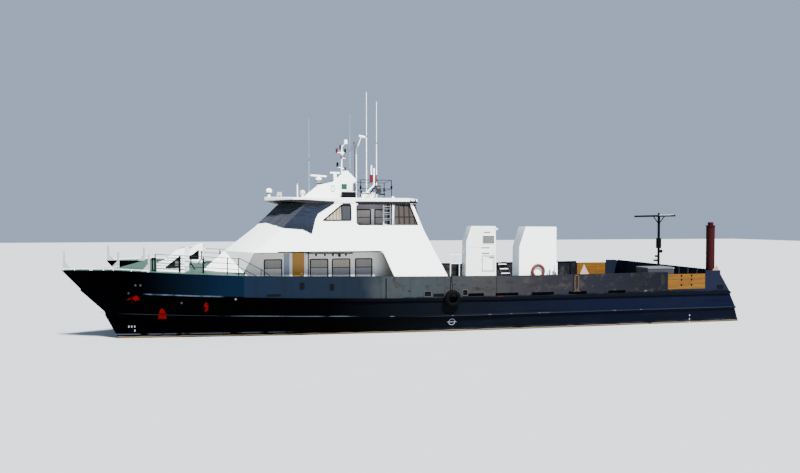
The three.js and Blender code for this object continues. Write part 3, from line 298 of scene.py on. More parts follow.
# Colours along the hull: between the knuckles, below the lower one and above the upper one. All three run to
# near black at the bow: painted shade on the bow.
HULL_SIDE = [(-17, (4, 8, 26)), (-8, (6, 10, 25)), (-2, (6, 9, 16)), (2, (4, 6, 10)), (5, (1, 1, 2)),
             (17, (0, 0, 1))]
HULL_LOW = [(-17, (1, 3, 16)), (-10, (2, 4, 16)), (-3, (3, 6, 13)), (4, (1, 1, 1)), (17, (0, 0, 0))]
HULL_HIGH = [(6, (6, 17, 31)), (9.5, (5, 17, 32)), (11.6, (3, 9, 18)), (13.4, (0, 0, 1))]
INBOARD = 3.44


def deck_green(paint):
    return paint.over(DECK_GREEN, [
        (paint.blots(0.9, 0.5, 0.68, detail=8.0), 0.35, (58, 66, 57)),
        (paint.blots(2.4, 0.6, 0.72, detail=6.0), 0.5, (34, 31, 25)),
        (paint.noise(60.0), 0.2, (28, 46, 39)),
    ])


def over_knuckle(paint, foot, start, slope):
    """The height over a knuckle."""
    return paint.z - (paint.math("MAXIMUM", 0.0, (paint.x - start) * slope) + foot)


def hull_paint():
    """Navy aft, near black forward as painted shade, bright blue under the foredeck; painted shadows under
    the knuckles; scum and bottom paint at the water.
    """
    paint = Paint("hull_paint", Roughness=0.42)
    x, z, wide = paint.x, paint.z, abs(paint.y)
    paint.feed(paint.shader.inputs["Specular IOR Level"], paint.ramp(x, HULL_GLOSS))
    low, high = over_knuckle(paint, *LOWER_KNUCKLE), over_knuckle(paint, *UPPER_KNUCKLE)
    colour = paint.mix(paint.rise(low, -0.02, 0.02), paint.ramp(x, HULL_LOW), paint.ramp(x, HULL_SIDE))
    blue = paint.rise(high, 0.0, 0.05) * paint.rise(x, 5.5, 6.5)
    colour = paint.mix(blue, colour, paint.ramp(x, HULL_HIGH))
    aft = paint.rise(x, 2.0, -2.0)
    flecks = paint.blots(1.6, 0.6, 0.64, stretch=(1, 1, 0.2), detail=8.0)
    broken = paint.blots(2.4, 0.3, 0.5, stretch=(0.6, 1, 1))
    ragged = z + paint.sway(1.5, 0.09, stretch=(1, 1, 0.3))
    clouds = paint.blots(0.5, 0.45, 0.8, stretch=(1, 1, 2.2), detail=6.0)
    rubs = paint.blots(0.9, 0.55, 0.62, stretch=(0.35, 1, 3)) * paint.band(low, 0.1, 0.36, 0.08)
    bow_line = paint.rise(x, 6.0, 8.0) * paint.blots(1.1, 0.36, 0.46)
    growth = paint.blots(2.5, 0.5, 0.7, detail=8.0) * paint.rise(z, 0.0, -0.4)
    colour = paint.over(colour, [
        (clouds * aft, 0.3, (14, 19, 30)),
        (rubs * paint.rise(x, -2.0, -4.0), 0.85, (1, 2, 5)),
        # Painted shadow under the lower knuckle
        (paint.band(low, -0.05, -0.005, 0.015), 0.9, (0, 1, 4)),
        (paint.band(low, 0.0, 0.035, 0.015) * aft, 0.5, (36, 42, 54)),
        (paint.band(low, 0.015, 0.04, 0.015) * flecks, 0.85, (74, 80, 90)),
        (paint.band(low, 0.02, 0.045, 0.012) * broken * paint.band(x, 4.0, 14.2, 0.5), 0.55, (70, 76, 88)),
        # Painted shadow under the upper knuckle, aft
        (paint.rise(z, 1.42, 1.46) * paint.rise(x, 5.0, 3.0), 0.75, (3, 4, 10)),
        (paint.band(high, 0.0, 0.04, 0.02) * broken * paint.band(x, 9.9, 13.1, 0.2), 0.9, (66, 78, 94)),
        (paint.band(ragged, 0.12, 0.17, 0.02) * paint.blots(0.8, 0.42, 0.6) * aft, 0.4, (34, 44, 62)),
        (paint.band(z, 0.16, 0.21, 0.02) * bow_line, 0.7, (66, 72, 90)),
        (paint.band(ragged, 0.03, 0.085, 0.012) * paint.blots(2.2, 0.28, 0.36), 0.95, (104, 92, 70)),
        (paint.rise(ragged, 0.028, 0.012), 1.0, (34, 18, 14)),
        (paint.patch(-15.06, -14.51, 1.58, 1.66) * flecks, 0.9, (110, 112, 116)),
        (growth, 1.0, (42, 40, 26)),
    ])
    marks = [(paint.torn_patch(*ends), strength, MARK_RED) for *ends, strength in RED_PATCHES]
    marks.insert(2, (bell(paint, **RED_BELL), 1.0, MARK_RED))
    marks.append((paint.patch(13.7, 14.2, 1.13, 1.17) * flecks, 0.6, MARK_RED))
    marks += [(dot(paint, at, up, *TICK), 0.95, MARK_WHITE) for at, up in DRAFT_TICKS]
    marks += [(dot(paint, at, up, *SPOT), share, (110, 112, 118)) for at, up, share in HULL_SPOTS]
    marks.append((load_line(paint), 0.95, MARK_WHITE))
    outboard = paint.rise(wide, INBOARD - 0.02, INBOARD + 0.02)
    colour = paint.over(colour, [(share * outboard, strength, mark) for share, strength, mark in marks])
    foredeck = paint.rise(z, 2.6, 2.65) * paint.rise(x, 8.6, 8.7)
    main_deck = paint.rise(z, 1.6, 1.62) * paint.rise(wide, 4.76, 4.74) * paint.rise(x, 9.0, 8.9)
    decks = paint.upward() * paint.math("MAXIMUM", foredeck, main_deck)
    paint.colour(paint.mix(decks, colour, deck_green(paint)))
    return paint.bump(paint.noise(0.9, detail=3.0), 0.012, 0.5).material


def dot(paint, x, z, wide, high, soft):
    return paint.patch(x - wide, x + wide, z - high, z + high, soft)


def bell(paint, middle, foot, top, half):
    """A bell-shaped patch: its sides draw in as they rise."""
    up = paint.math("DIVIDE", paint.z - foot, top - foot, clamp=True)
    width = half * (1.0 - paint.math("POWER", up, 2.2))
    off = abs(paint.x + paint.sway(9.0, 0.12) - middle)
    return paint.rise(width - off, 0.0, 0.02) * paint.band(paint.z, foot, top, 0.01)


def load_line(paint):
    """The ring with a line through it."""
    dx, dz = paint.x - LOAD_LINE["x"], paint.z - LOAD_LINE["z"]
    away = paint.math("SQRT", dx * dx + dz * dz)
    half, soft, radius, reach = (LOAD_LINE[key] for key in ("half", "soft", "radius", "reach"))
    ring = paint.band(away, radius - half, radius + half, soft)
    line = paint.band(dz, -half, half, soft) * paint.band(dx, -reach, reach, soft)
    return paint.math("MAXIMUM", ring, line)


# Colours along the bulwarks
BULWARK_TONES = [
    (-17, (14, 20, 36)), (-14.8, (12, 18, 33)), (-12.6, (9, 12, 19)), (-9, (18, 20, 28)), (-6, (26, 26, 32)),
    (-2.5, (40, 40, 42)), (1, (37, 44, 48)), (2.4, (38, 43, 46)), (3.6, (12, 20, 30)), (9, (6, 18, 34)),
]


def bulwark_paint():
    """Blue forward, grey and brown amidships, dark blue aft, with blotches and streaks from the cap."""
    paint = Paint("bulwark_paint", Roughness=0.6, Specular_IOR_Level=0.06)
    x, z = paint.x, paint.z
    middle = paint.rise(x, 3.5, 1.5) * paint.rise(x, -13.2, -11.5)
    blotch = paint.blots(1.6, 0.52, 0.6, detail=8.0, roughness=0.7)
    chips = paint.blots(2.6, 0.6, 0.64, stretch=(1, 1, 2), detail=8.0) * middle
    low = z + paint.noise(1.2, stretch=(1, 1, 0.3)) * 0.3
    paint.colour(paint.over(paint.ramp(x + paint.sway(0.8, 2.0), BULWARK_TONES), [
        (blotch * middle, 0.45, (50, 48, 45)),
        (paint.blots(3.2, 0.62, 0.66, detail=6.0) * middle, 0.7, (12, 12, 15)),
        (paint.blots(2.6, 0.56, 0.66, stretch=(0.5, 1, 1.4), detail=8.0) * middle, 0.5, (26, 21, 18)),
        (paint.blots(3.5, 0.54, 0.7, stretch=(1.2, 1, 0.07)), 0.35, (10, 11, 14)),
        (paint.rise(low, 1.9, 1.8), 0.92, (2, 3, 6)),
        (paint.band(z, 1.72, 1.8, 0.03) * chips, 0.8, (70, 74, 78)),
        (paint.blots(4.5, 0.64, 0.7, detail=8.0) * middle, 0.6, (44, 22, 16)),
        (paint.patch(-3.95, -3.0, 1.6, 1.76, 0.05) * blotch, 0.8, (52, 30, 27)),
        (paint.upward() * paint.rise(z, 2.5, 2.6), 0.9, (6, 7, 10)),
    ]))
    return paint.bump(paint.noise(1.1, detail=4.0), 0.02, 0.6).material


def deck_paint():
    paint = Paint("deck_paint", Roughness=0.85, Specular_IOR_Level=0.15)
    paint.colour(deck_green(paint))
    return paint.bump(paint.noise(60.0), 0.004, 0.5).material


def roof_paint():
    """White; the edge's lower half is black forward and over the wing openings, as is the underside: painted
    shade under the roof's edge and overhang.
    """
    paint = Paint("roof_paint", Roughness=0.38)
    x = paint.x
    ends = paint.math("MAXIMUM", paint.rise(x, 4.72, 4.78), paint.rise(x, 3.78, 3.72))
    line = paint.rise(x, 4.9, 6.2) * 0.06 + 6.325
    paint.colour(paint.over((238, 241, 243), [
        (paint.blots(1.4, 0.55, 0.8, stretch=(1, 1, 0.3), detail=6.0), 0.2, (190, 190, 184)),
        # Painted shade: the black lower half of the edge and the black underside
        (paint.rise(line - paint.z, -0.005, 0.005) * ends, 1.0, BLACK),
        (paint.rise(paint.tilt(), -0.3, -0.6), 1.0, BLACK),
    ]))
    return paint.material


def house_paint():
    """Warm white in the passages' shade, the warm tint painted light; painted shade darkens their after ends.
    """
    paint = Paint("house_paint", Roughness=0.5)
    passage_end_shade = paint.rise(paint.x, 2.9, 2.0) * paint.rise(paint.x, 1.0, 1.4)
    paint.colour(paint.over((255, 250, 240), [
        (paint.blots(1.4, 0.5, 0.8, stretch=(1, 1, 0.3), detail=6.0), 0.2, (205, 200, 190)),
        (passage_end_shade, 0.85, (112, 106, 96)),
    ]))
    return paint.material


def canvas():
    """Navy cloth, black in the visor's shade and darker again low down."""
    paint = Paint("canvas", Roughness=0.9, Sheen_Weight=0.1, Specular_IOR_Level=0.1)
    tone = paint.blots(0.8, 0.35, 0.7, stretch=(1, 1, 2), detail=6.0)
    foot = paint.sway(0.9, 0.14, detail=2.0) + 6.03 + paint.rise(paint.x, 5.6, 4.7) * 0.2
    paint.colour(paint.over(paint.mix(tone, (15, 22, 35), (20, 28, 44)), [
        (paint.blots(3.0, 0.55, 0.75, stretch=(1, 1, 0.4)), 0.2, (40, 45, 54)),
        (paint.rise(paint.z - foot, -0.03, 0.05), 0.92, (4, 5, 9)),
        (paint.rise(paint.z, 5.5, 5.1), 0.45, (7, 11, 22)),
    ]))
    weave = paint.noise(90.0, stretch=(1, 1, 6)) * paint.noise(90.0, stretch=(6, 6, 1))
    return paint.bump(weave, 0.003, 0.5).material


def glass(name, stops, shine=0.3):
    """Glass with a drawn blind close behind it: soft upright folds in tones that change along the ship."""
    paint = Paint(name, Roughness=0.35, Specular_IOR_Level=shine, Coat_Weight=0.06, Coat_Roughness=0.05)
    folds = paint.blots(9.0, 0.3, 0.7, stretch=(1, 1, 0.02), detail=2.0)
    paint.colour(paint.over(paint.ramp(paint.x, stops), [(folds, 0.08, (20, 20, 24))]))
    return paint.material


def striped(name, pale, dark, pitch, share, bars=()):
    """Upright strips along X, with dark gaps and dark bars across at given heights."""
    paint = Paint(name, Roughness=0.8, Specular_IOR_Level=0.2)
    phase = paint.math("FRACT", paint.math("DIVIDE", paint.x + 20.0, pitch))
    colour = paint.mix(paint.blots(2.0, 0.3, 0.7, detail=6.0), pale, tuple(c * 0.86 for c in pale))
    marks = [(paint.rise(phase, share + 0.04, share - 0.04), 0.9, dark)]
    marks += [(paint.band(paint.z, at - 0.035, at + 0.035, 0.012), 0.85, dark) for at in bars]
    return paint.colour(paint.over(colour, marks)).material


def wooden_gate():
    paint = Paint("gate_paint", Roughness=0.6, Specular_IOR_Level=0.2)
    grain = paint.blots(3.0, 0.35, 0.7, stretch=(0.25, 1, 6), detail=8.0)
    joints = [paint.band(paint.z, low, low + 0.015, 0.006) for low in (2.315, 2.06)]
    paint.colour(paint.over(paint.mix(grain, (94, 62, 3), (76, 46, 2)), [
        (paint.blots(6.0, 0.6, 0.68, detail=8.0), 0.6, (50, 30, 10)),
        (paint.math("MAXIMUM", *joints), 0.6, (30, 18, 6)),
    ]))
    return paint.bump(grain, 0.002, 0.4).material


def rubber(name, colour):
    paint = Paint(name, Roughness=0.8, Specular_IOR_Level=0.05)
    paint.colour(paint.over(colour, [(paint.blots(12.0, 0.5, 0.75, detail=6.0), 0.25, (14, 14, 14))]))
    return paint.bump(paint.noise(40.0), 0.002, 0.4).material


# Columns: name, colour, worn colour, roughness, metallic, specular, share of the worn colour
PLAIN_PAINTS = [
    ("white", (244, 246, 247), (214, 215, 211), 0.36, 0.0, 0.5, 0.12),
    ("ochre", (190, 136, 52), (150, 104, 44), 0.45, 0.0, 0.3, 0.35),
    ("black", (1, 2, 4), (6, 6, 7), 0.5, 0.0, 0.08, 0.3),
    ("grey", (78, 80, 82), (56, 55, 53), 0.45, 0.0, 0.3, 0.35),
    ("pale_rail", (150, 156, 154), (116, 116, 110), 0.45, 0.0, 0.3, 0.3),
    ("dark_rail", (12, 16, 20), (26, 24, 22), 0.5, 0.0, 0.15, 0.3),
    ("navy_rail", (8, 16, 34), (16, 20, 30), 0.5, 0.0, 0.15, 0.3),
    ("box_grey", (40, 42, 48), (30, 30, 31), 0.5, 0.0, 0.2, 0.4),
    ("box_lid", (70, 72, 80), (54, 54, 57), 0.5, 0.0, 0.3, 0.3),
    ("red", (42, 3, 5), (26, 4, 6), 0.55, 0.0, 0.1, 0.5),
    ("orange", (84, 36, 29), (58, 30, 26), 0.6, 0.0, 0.2, 0.6),
    ("bronze", (150, 118, 66), (84, 96, 78), 0.35, 0.9, 0.5, 0.35),
    ("steel", (150, 152, 154), (110, 100, 90), 0.4, 0.7, 0.5, 0.35),
    ("dark_red", (70, 8, 16), (50, 8, 12), 0.45, 0.0, 0.2, 0.3),
    ("mauve", (96, 84, 100), (76, 68, 80), 0.5, 0.0, 0.2, 0.3),
    ("dark_mauve", (30, 24, 32), (24, 20, 26), 0.5, 0.0, 0.15, 0.3),
    ("pale_pink", (196, 186, 190), (170, 162, 166), 0.5, 0.0, 0.3, 0.3),
    ("green_lamp", (20, 62, 46), (16, 48, 36), 0.4, 0.0, 0.3, 0.3),
    ("tan", (78, 66, 56), (58, 48, 40), 0.9, 0.0, 0.1, 0.4),
    ("beige", (138, 120, 108), (110, 96, 86), 0.8, 0.0, 0.1, 0.3),
    ("brown_mat", (24, 18, 15), (40, 33, 28), 0.9, 0.0, 0.1, 0.4),
    ("lens", (226, 232, 238), (196, 204, 212), 0.1, 0.0, 0.5, 0.2),
    ("pipe", (34, 35, 36), (20, 19, 18), 0.5, 0.0, 0.2, 0.4),
    ("rim_grey", (50, 54, 58), (40, 42, 45), 0.5, 0.0, 0.2, 0.4),
    # recess: painted shade in the passage walls' recesses; also the grey of the hatches' notices
    ("recess", (150, 158, 170), (130, 138, 150), 0.5, 0.0, 0.3, 0.3),
    # jamb: painted shade on the passage jambs; also the stern stiffeners' own light grey
    ("jamb", (96, 98, 94), (82, 82, 78), 0.5, 0.0, 0.2, 0.3),
    ("aerial_pale", (112, 128, 144), (96, 110, 124), 0.4, 0.0, 0.3, 0.3),
    ("wheelhouse", (150, 141, 149), (132, 124, 130), 0.5, 0.0, 0.5, 0.3),
    ("flap", (5, 9, 9), (16, 20, 19), 0.7, 0.0, 0.05, 0.5),
]
PAINTS = {
    name: weathered(name, colour, worn, share, Roughness=rough, Metallic=metallic, Specular_IOR_Level=shine)
    for name, colour, worn, rough, metallic, shine, share in PLAIN_PAINTS
}
# Blinds behind the panes: tones from one x to the next. The forward lower panes and the wheelhouse panes are
# painted lighter than the rest: painted light that offsets the shade on them.
BLINDS = {
    "pane_up": [(0, (154, 146, 134)), (3.84, (154, 146, 134)), (3.86, (184, 164, 148)),
                (4.93, (184, 164, 148)), (4.95, (156, 150, 138)), (9, (158, 150, 138))],
    "pane_low": [(0, (154, 148, 151)), (4.93, (154, 148, 152)), (4.95, (180, 174, 168)),
                 (6.4, (180, 174, 168)), (6.6, (222, 212, 202)), (9, (222, 212, 202))],
    "pane_wheel": [(2.0, (178, 170, 160)), (2.75, (178, 170, 160)), (2.8, (196, 186, 172)),
                   (4, (196, 186, 172))],
    "pane_blue": [(0, (34, 38, 43)), (9, (36, 40, 45))],
}
PAINTS.update({name: glass(name, stops) for name, stops in BLINDS.items()})
PAINTS.update({
    "hull": hull_paint(),
    "bulwark": bulwark_paint(),
    "deck": deck_paint(),
    "roof": roof_paint(),
    "house": house_paint(),
    "cover": canvas(),
    "yellow": wooden_gate(),
    "rubber": rubber("rubber", (2, 2, 3)),
    "gasket": rubber("gasket", (10, 10, 12)),
    "screen": striped("screen", (50, 45, 41), (5, 5, 6), 0.257, 0.31, bars=(5.57,)),
    "pane_cream": striped("pane_cream", (140, 134, 118), (88, 80, 68), 0.16, 0.3),
    "pane_dark": glass("pane_dark", [(0, (3, 4, 5)), (13, (3, 4, 5))], 0.08),
})

# Paint of the nodes that aren't white. A name that ends in _ stands for its port and starboard nodes
NODE_PAINTS = {
    "hull": "hull_ rudder_",
    "bulwark": "bulwark_ stern_bulwark",
    "deck": "bridge_deck foredeck upper_deck",
    "roof": "roof",
    "ochre": "side_door_",
    "black": "mooring_stand_ stern_mast",
    "dark_rail": "steps_",
    "navy_rail": "roof_rail",
    "house": "lower_house",
    "wheelhouse": "wheelhouse",
    "pale_rail": "bow_rail_",
    "box_grey": "deck_box",
    "steel": "shaft_line_",
    "bronze": "propeller_",
    "yellow": "gate_",
    "red": "quarter_post",
    "screen": "wing_screen_",
    "aerial_pale": "aerial_1 aerial_2",
}

# Parts of a node in another paint. Columns: node, paint, x from, x to, z from, z to
TOUCHES = [
    ("roof", "black", 7.6, 8.1, 6.64, 6.9), ("roof", "white", 7.6, 8.1, 6.9, 7.3),
    ("roof", "mauve", 6.2, 6.5, 7.37, 7.6), ("roof", "pale_pink", 5.9, 6.26, 6.7, 7.1),
    ("roof", "black", 3.24, 4.03, 6.55, 6.96),
    ("mast_housing", "rim_grey", 3.185, 3.255, 6.0, 9.45), ("mast_housing", "grey", 3.08, 3.36, 9.3, 9.75),
    ("signal_mast", "black", 4.1, 4.24, 8.33, 8.6), ("signal_mast", "black", 3.7, 3.82, 8.19, 8.34),
    ("signal_mast", "mauve", 3.68, 3.8, 8.81, 8.97), ("signal_mast", "dark_red", 4.14, 4.28, 9.1, 9.36),
    ("signal_mast", "black", 3.68, 3.82, 9.1, 9.35), ("signal_mast", "box_grey", 3.94, 4.08, 9.27, 9.55),
    ("signal_mast", "black", 3.6, 3.84, 9.59, 9.66),
    ("roof_rail", "dark_red", 2.17, 2.57, 7.44, 7.87), ("roof_rail", "black", 1.99, 2.24, 6.84, 7.28),
    ("bow_rail_", "white", 12.5, 17, 3.0, 3.28),
    ("boarding_steps_", "dark_rail", -7.521, -7.494, 0, 4),
    ("boarding_steps_", "dark_rail", -6.926, -6.899, 0, 4),
]


def nodes_named(name):
    names = [name + side for side, _ in SIDES] if name.endswith("_") else [name]
    return [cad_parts[each].data for each in names]


def smooth(mesh, angle=32.0):
    """Smooth shading up to an angle, on a CAD mesh whose triangles share no vertices before the weld."""
    keys = [tuple(round(c, 5) for c in vertex.co) for vertex in mesh.vertices]
    sides = {}
    for face in mesh.polygons:
        for a, b in face.edge_keys:
            sides.setdefault(tuple(sorted((keys[a], keys[b]))), []).append(face.normal.copy())
    limit = math.cos(math.radians(angle))
    for edge in mesh.edges:
        a, b = edge.vertices
        faces = sides[tuple(sorted((keys[a], keys[b])))]
        edge.use_edge_sharp = len(faces) != 2 or faces[0].dot(faces[1]) < limit
    mesh.polygons.foreach_set("use_smooth", [True] * len(mesh.polygons))
    if "custom_normal" in mesh.attributes:
        mesh.attributes.remove(mesh.attributes["custom_normal"])


def dress_nodes():
    """Paints and smooths what comes from the CAD model."""
    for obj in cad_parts.values():
        obj.data.materials.clear()
        obj.data.materials.append(PAINTS["white"])
        smooth(obj.data)
        obj.modifiers.new("weld", "WELD").merge_threshold = 1e-4
    for paint, names in NODE_PAINTS.items():
        for mesh in (mesh for name in names.split() for mesh in nodes_named(name)):
            mesh.materials[0] = PAINTS[paint]
    for name, paint, x0, x1, z0, z1 in TOUCHES:
        for mesh in nodes_named(name):
            slot = len(mesh.materials)
            mesh.materials.append(PAINTS[paint])
            for face in mesh.polygons:
                spots = [mesh.vertices[i].co for i in face.vertices]
                if all(x0 <= v.x <= x1 and z0 <= v.z <= z1 for v in spots):
                    face.material_index = slot


# Shapes
PLANES = {
    "XY": lambda a, b, c: (a, b, c),
    "XZ": lambda a, b, c: (a, c, b),
    "YZ": lambda a, b, c: (c, a, b),
}
TURNS = {
    "X": Matrix.Rotation(math.pi / 2, 3, "Y"),
    "Y": Matrix.Rotation(-math.pi / 2, 3, "X"),
    "Z": Matrix.Identity(3),
}


def angles(count):
    """The angles of a whole turn in count steps."""
    return [2 * math.pi * k / count for k in range(count)]


def off_wall(face, outward, depths):
    """Depths before a wall's face, or behind it where negative, as places in rising order."""
    return sorted(face + outward * depth for depth in depths)


def rounded(corners, steps=4):
    """A polygon with rounded corners; each corner is (a, b, radius)."""
    points = []
    for i, (a, b, radius) in enumerate(corners):
        corner = Vector((a, b))
        back = (Vector(corners[i - 1][:2]) - corner).normalized()
        on = (Vector(corners[(i + 1) % len(corners)][:2]) - corner).normalized()
        if not radius:
            points.append((a, b))
            continue
        reach = radius / math.tan(back.angle(on) / 2)
        start, end = corner + back * reach, corner + on * reach
        for k in range(steps + 1):
            t = k / steps
            p = start * (1 - t) ** 2 + corner * 2 * t * (1 - t) + end * t * t
            points.append((p.x, p.y))
    return points


def rectangle(a0, a1, b0, b1, radius=0.0):
    return rounded([(a0, b0, radius), (a1, b0, radius), (a1, b1, radius), (a0, b1, radius)])


def inset(outline, by):
    """The outline drawn in by a distance."""
    points = [Vector(p) for p in outline]
    area = sum(a.x * b.y - b.x * a.y for a, b in zip(points, points[1:] + points[:1]))
    turn = 1 if area > 0 else -1
    moved = []
    for i, p in enumerate(points):
        before = (p - points[i - 1]).normalized()
        after = (points[(i + 1) % len(points)] - p).normalized()
        left = Vector((-before.y - after.y, before.x + after.x)) * turn
        left.normalize()
        square = Vector((-before.y, before.x)) * turn
        moved.append(tuple(p + left * (by / max(0.4, left.dot(square)))))
    return moved


class Shape:
    """Collects solids, then becomes one piece."""

    def __init__(self):
        self.verts = []
        self.faces = []

    def add(self, verts, faces):
        base = len(self.verts)
        self.verts += [Vector(v) for v in verts]
        self.faces += [tuple(base + i for i in face) for face in faces]
        return self

    def loft(self, rings, closed=False):
        """Joins rings of equal count, round to the first where closed, else with a face at both ends."""
        n, count = len(rings[0]), len(rings)
        faces = []
        for r in range(count if closed else count - 1):
            low, high = r * n, (r + 1) % count * n
            faces += [(low + k, low + (k + 1) % n, high + (k + 1) % n, high + k) for k in range(n)]
        if not closed:
            faces += [tuple(reversed(range(n))), tuple(range((count - 1) * n, count * n))]
        return self.add([v for ring in rings for v in ring], faces)

    def box(self, x0, x1, y0, y1, z0, z1):
        return self.prism("XY", rectangle(x0, x1, y0, y1), z0, z1)

    def prism(self, plane, outline, low, high):
        return self.loft([[PLANES[plane](a, b, c) for a, b in outline] for c in (low, high)])

    def frame(self, plane, outer, inner, low, high):
        """A ring between two outlines of as many points each."""
        loops = ((outer, low), (inner, low), (inner, high), (outer, high))
        return self.loft([[PLANES[plane](a, b, c) for a, b in loop] for loop, c in loops], closed=True)

    def lathe(self, profile, at=(0, 0, 0), axis="Z", sides=16):
        """A profile of (radius, height) turned about an axis through at."""
        rings = []
        for radius, height in profile:
            ring = [Vector((radius * math.cos(a), radius * math.sin(a), height)) for a in angles(sides)]
            rings.append([TURNS[axis] @ spot + Vector(at) for spot in ring])
        return self.loft(rings)

    def torus(self, section, at, turns, closed=True):
        """A section of (radius, offset along Y), set at each of the turns about the Y axis through at."""
        rings = []
        for a in turns:
            rings.append([Vector(at) + Vector((r * math.cos(a), off, r * math.sin(a))) for r, off in section])
        return self.loft(rings, closed)

    def tube(self, points, radius, sides=8):
        """A round bar along points, with its corners mitred."""
        points = [Vector(p) for p in points]
        runs = [(b - a).normalized() for a, b in zip(points, points[1:])]
        rings = []
        for p, before, after in zip(points, runs[:1] + runs, runs + runs[-1:]):
            along = (before + after).normalized()
            side = along.cross(Vector((0.31, 0.17, 0.93))).normalized()
            up = side.cross(along)
            rings.append([p + side * radius * math.cos(a) + up * radius * math.sin(a) for a in angles(sides)])
        return self.loft(rings)

    def leaned(self):
        """Moves every point in or out with the lean of the side plates, on the side that it is on."""
        for v in self.verts:
            v.y -= math.copysign(TUMBLE * (v.z - TUMBLE_FOOT), v.y)
        return self

    def pair(self, name, paint, **how):
        """Adds the mirror image across the centreline, and becomes one piece with it."""
        count = len(self.verts)
        self.verts += [Vector((v.x, -v.y, v.z)) for v in self.verts]
        self.faces += [tuple(count + i for i in reversed(face)) for face in self.faces]
        return self.piece(name, paint, **how)

    def piece(self, name, paint, body=HULL, crease=30, bevel=0.0):
        mesh = bpy.data.meshes.new(name)
        mesh.from_pydata(self.verts, [], self.faces)
        made = bmesh.new()
        made.from_mesh(mesh)
        bmesh.ops.recalc_face_normals(made, faces=made.faces)
        made.to_mesh(mesh)
        made.free()
        obj = place(name, mesh)
        mesh.materials.append(PAINTS[paint])
        mesh.polygons.foreach_set("use_smooth", [True] * len(mesh.polygons))
        mesh.set_sharp_from_angle(angle=math.radians(crease))
        if bevel:
            modifier = obj.modifiers.new("edges", "BEVEL")
            modifier.width = bevel
            modifier.segments = 2
        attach(obj, body)
        return obj


def side_piece(name, paint, outline, *depths):
    """A flat piece on both side plates, between two depths off their outer faces."""
    Shape().prism("XZ", outline, *off_wall(SIDE_FOOT, 1, depths)).leaned().pair(name, paint)


# Windows: each has a dark gasket, an upper and a lower pane and a bar between them
LOWER_WINDOWS = [(7.20, 8.03), (5.03, 5.89), (3.97, 4.84), (2.89, 3.72)]
LOWER_SILL, LOWER_HEAD, LOWER_BAR = 2.56, 3.56, 3.14
WHEEL_WINDOWS = [(2.20, 2.68), (2.88, 3.62)]
WHEEL_SILL, WHEEL_HEAD, WHEEL_BAR = 5.20, 5.95, 5.56
GASKET, LIP, BAR, OVERLAP = 0.035, 0.012, 0.014, 0.01
GASKET_DEPTH = (-0.02, 0.018)
BAR_DEPTH = (-0.02, 0.004)
PANE_DEPTH = (-0.03, -0.012)
# The three-sided window in each side plate, and the opening to the wing. Columns: x, z, radius of the corner
WING_WINDOW = [(5.31, 5.40, 0.02), (4.40, 6.16, 0.06), (3.96, 6.16, 0.06), (3.96, 5.40, 0.06)]
WING_MULLION, MULLION_HALF = 4.41, 0.025
WING_OPENING = [(3.71, 5.18, 0.16), (0.69, 5.18, 0.03), (1.06, 6.18, 0.03), (3.71, 6.18, 0.16)]


def window(gaskets, panes, plane, outline, face, outward, bar):
    """Adds one window: face is the wall's face, outward is 1 or -1, and bar the height of the bar across."""
    inner = inset(outline, GASKET)
    gaskets.frame(plane, inset(outline, -LIP), inner, *off_wall(face, outward, GASKET_DEPTH))
    a0, a1 = min(a for a, _ in inner), max(a for a, _ in inner)
    strip = rectangle(a0 - OVERLAP, a1 + OVERLAP, bar - BAR, bar + BAR)
    gaskets.prism(plane, strip, *off_wall(face, outward, BAR_DEPTH))
    for pane, end in zip(panes, (max, min)):
        part = [(a, end(b, bar)) for a, b in inset(outline, OVERLAP)]
        pane.prism(plane, part, *off_wall(face, outward, PANE_DEPTH))


def make_windows():
    gaskets, upper, lower, high = (Shape() for _ in range(4))
    panes = (upper, lower)
    for x0, x1 in LOWER_WINDOWS:
        outline = rectangle(x0, x1, LOWER_SILL, LOWER_HEAD, 0.07)
        window(gaskets, panes, "XZ", outline, LOWER_WALL, 1, LOWER_BAR)
    for x0, x1 in WHEEL_WINDOWS:
        outline = rectangle(x0, x1, WHEEL_SILL, WHEEL_HEAD, 0.06)
        window(gaskets, (high, high), "XZ", outline, WHEEL_WALL, 1, WHEEL_BAR)
    window(gaskets, panes, "YZ", rectangle(1.2, 2.3, 2.7, 3.5, 0.06), HOUSE_AFT, -1, 3.05)
    window(gaskets, panes, "YZ", rectangle(0.8, 2.0, 5.1, 5.9, 0.06), WHEEL_AFT, -1, 5.5)
    gaskets.pair("window_gaskets", "gasket")
    upper.pair("window_panes_upper", "pane_up")
    lower.pair("window_panes_lower", "pane_low")
    high.pair("wheelhouse_panes", "pane_wheel")


def make_wing_windows():
    """Gaskets, a blind forward of the mullion and blue-grey glass aft of it."""
    outline = rounded(WING_WINDOW)
    mullion = rectangle(WING_MULLION - MULLION_HALF, WING_MULLION + MULLION_HALF, 5.41, 6.15)
    gasket = Shape().frame(
        "XZ", inset(outline, -0.02), inset(outline, GASKET), *off_wall(SIDE_FOOT, 1, (-0.02, 0.016)))
    gasket.prism("XZ", mullion, *off_wall(SIDE_FOOT, 1, (-0.02, 0.008)))
    gasket.leaned().pair("wing_window_gaskets", "gasket")
    for name, end, paint in (("fore", max, "pane_cream"), ("aft", min, "pane_blue")):
        part = [(end(a, WING_MULLION), b) for a, b in inset(outline, OVERLAP)]
        side_piece("wing_window_panes_" + name, paint, part, -0.035, -0.015)


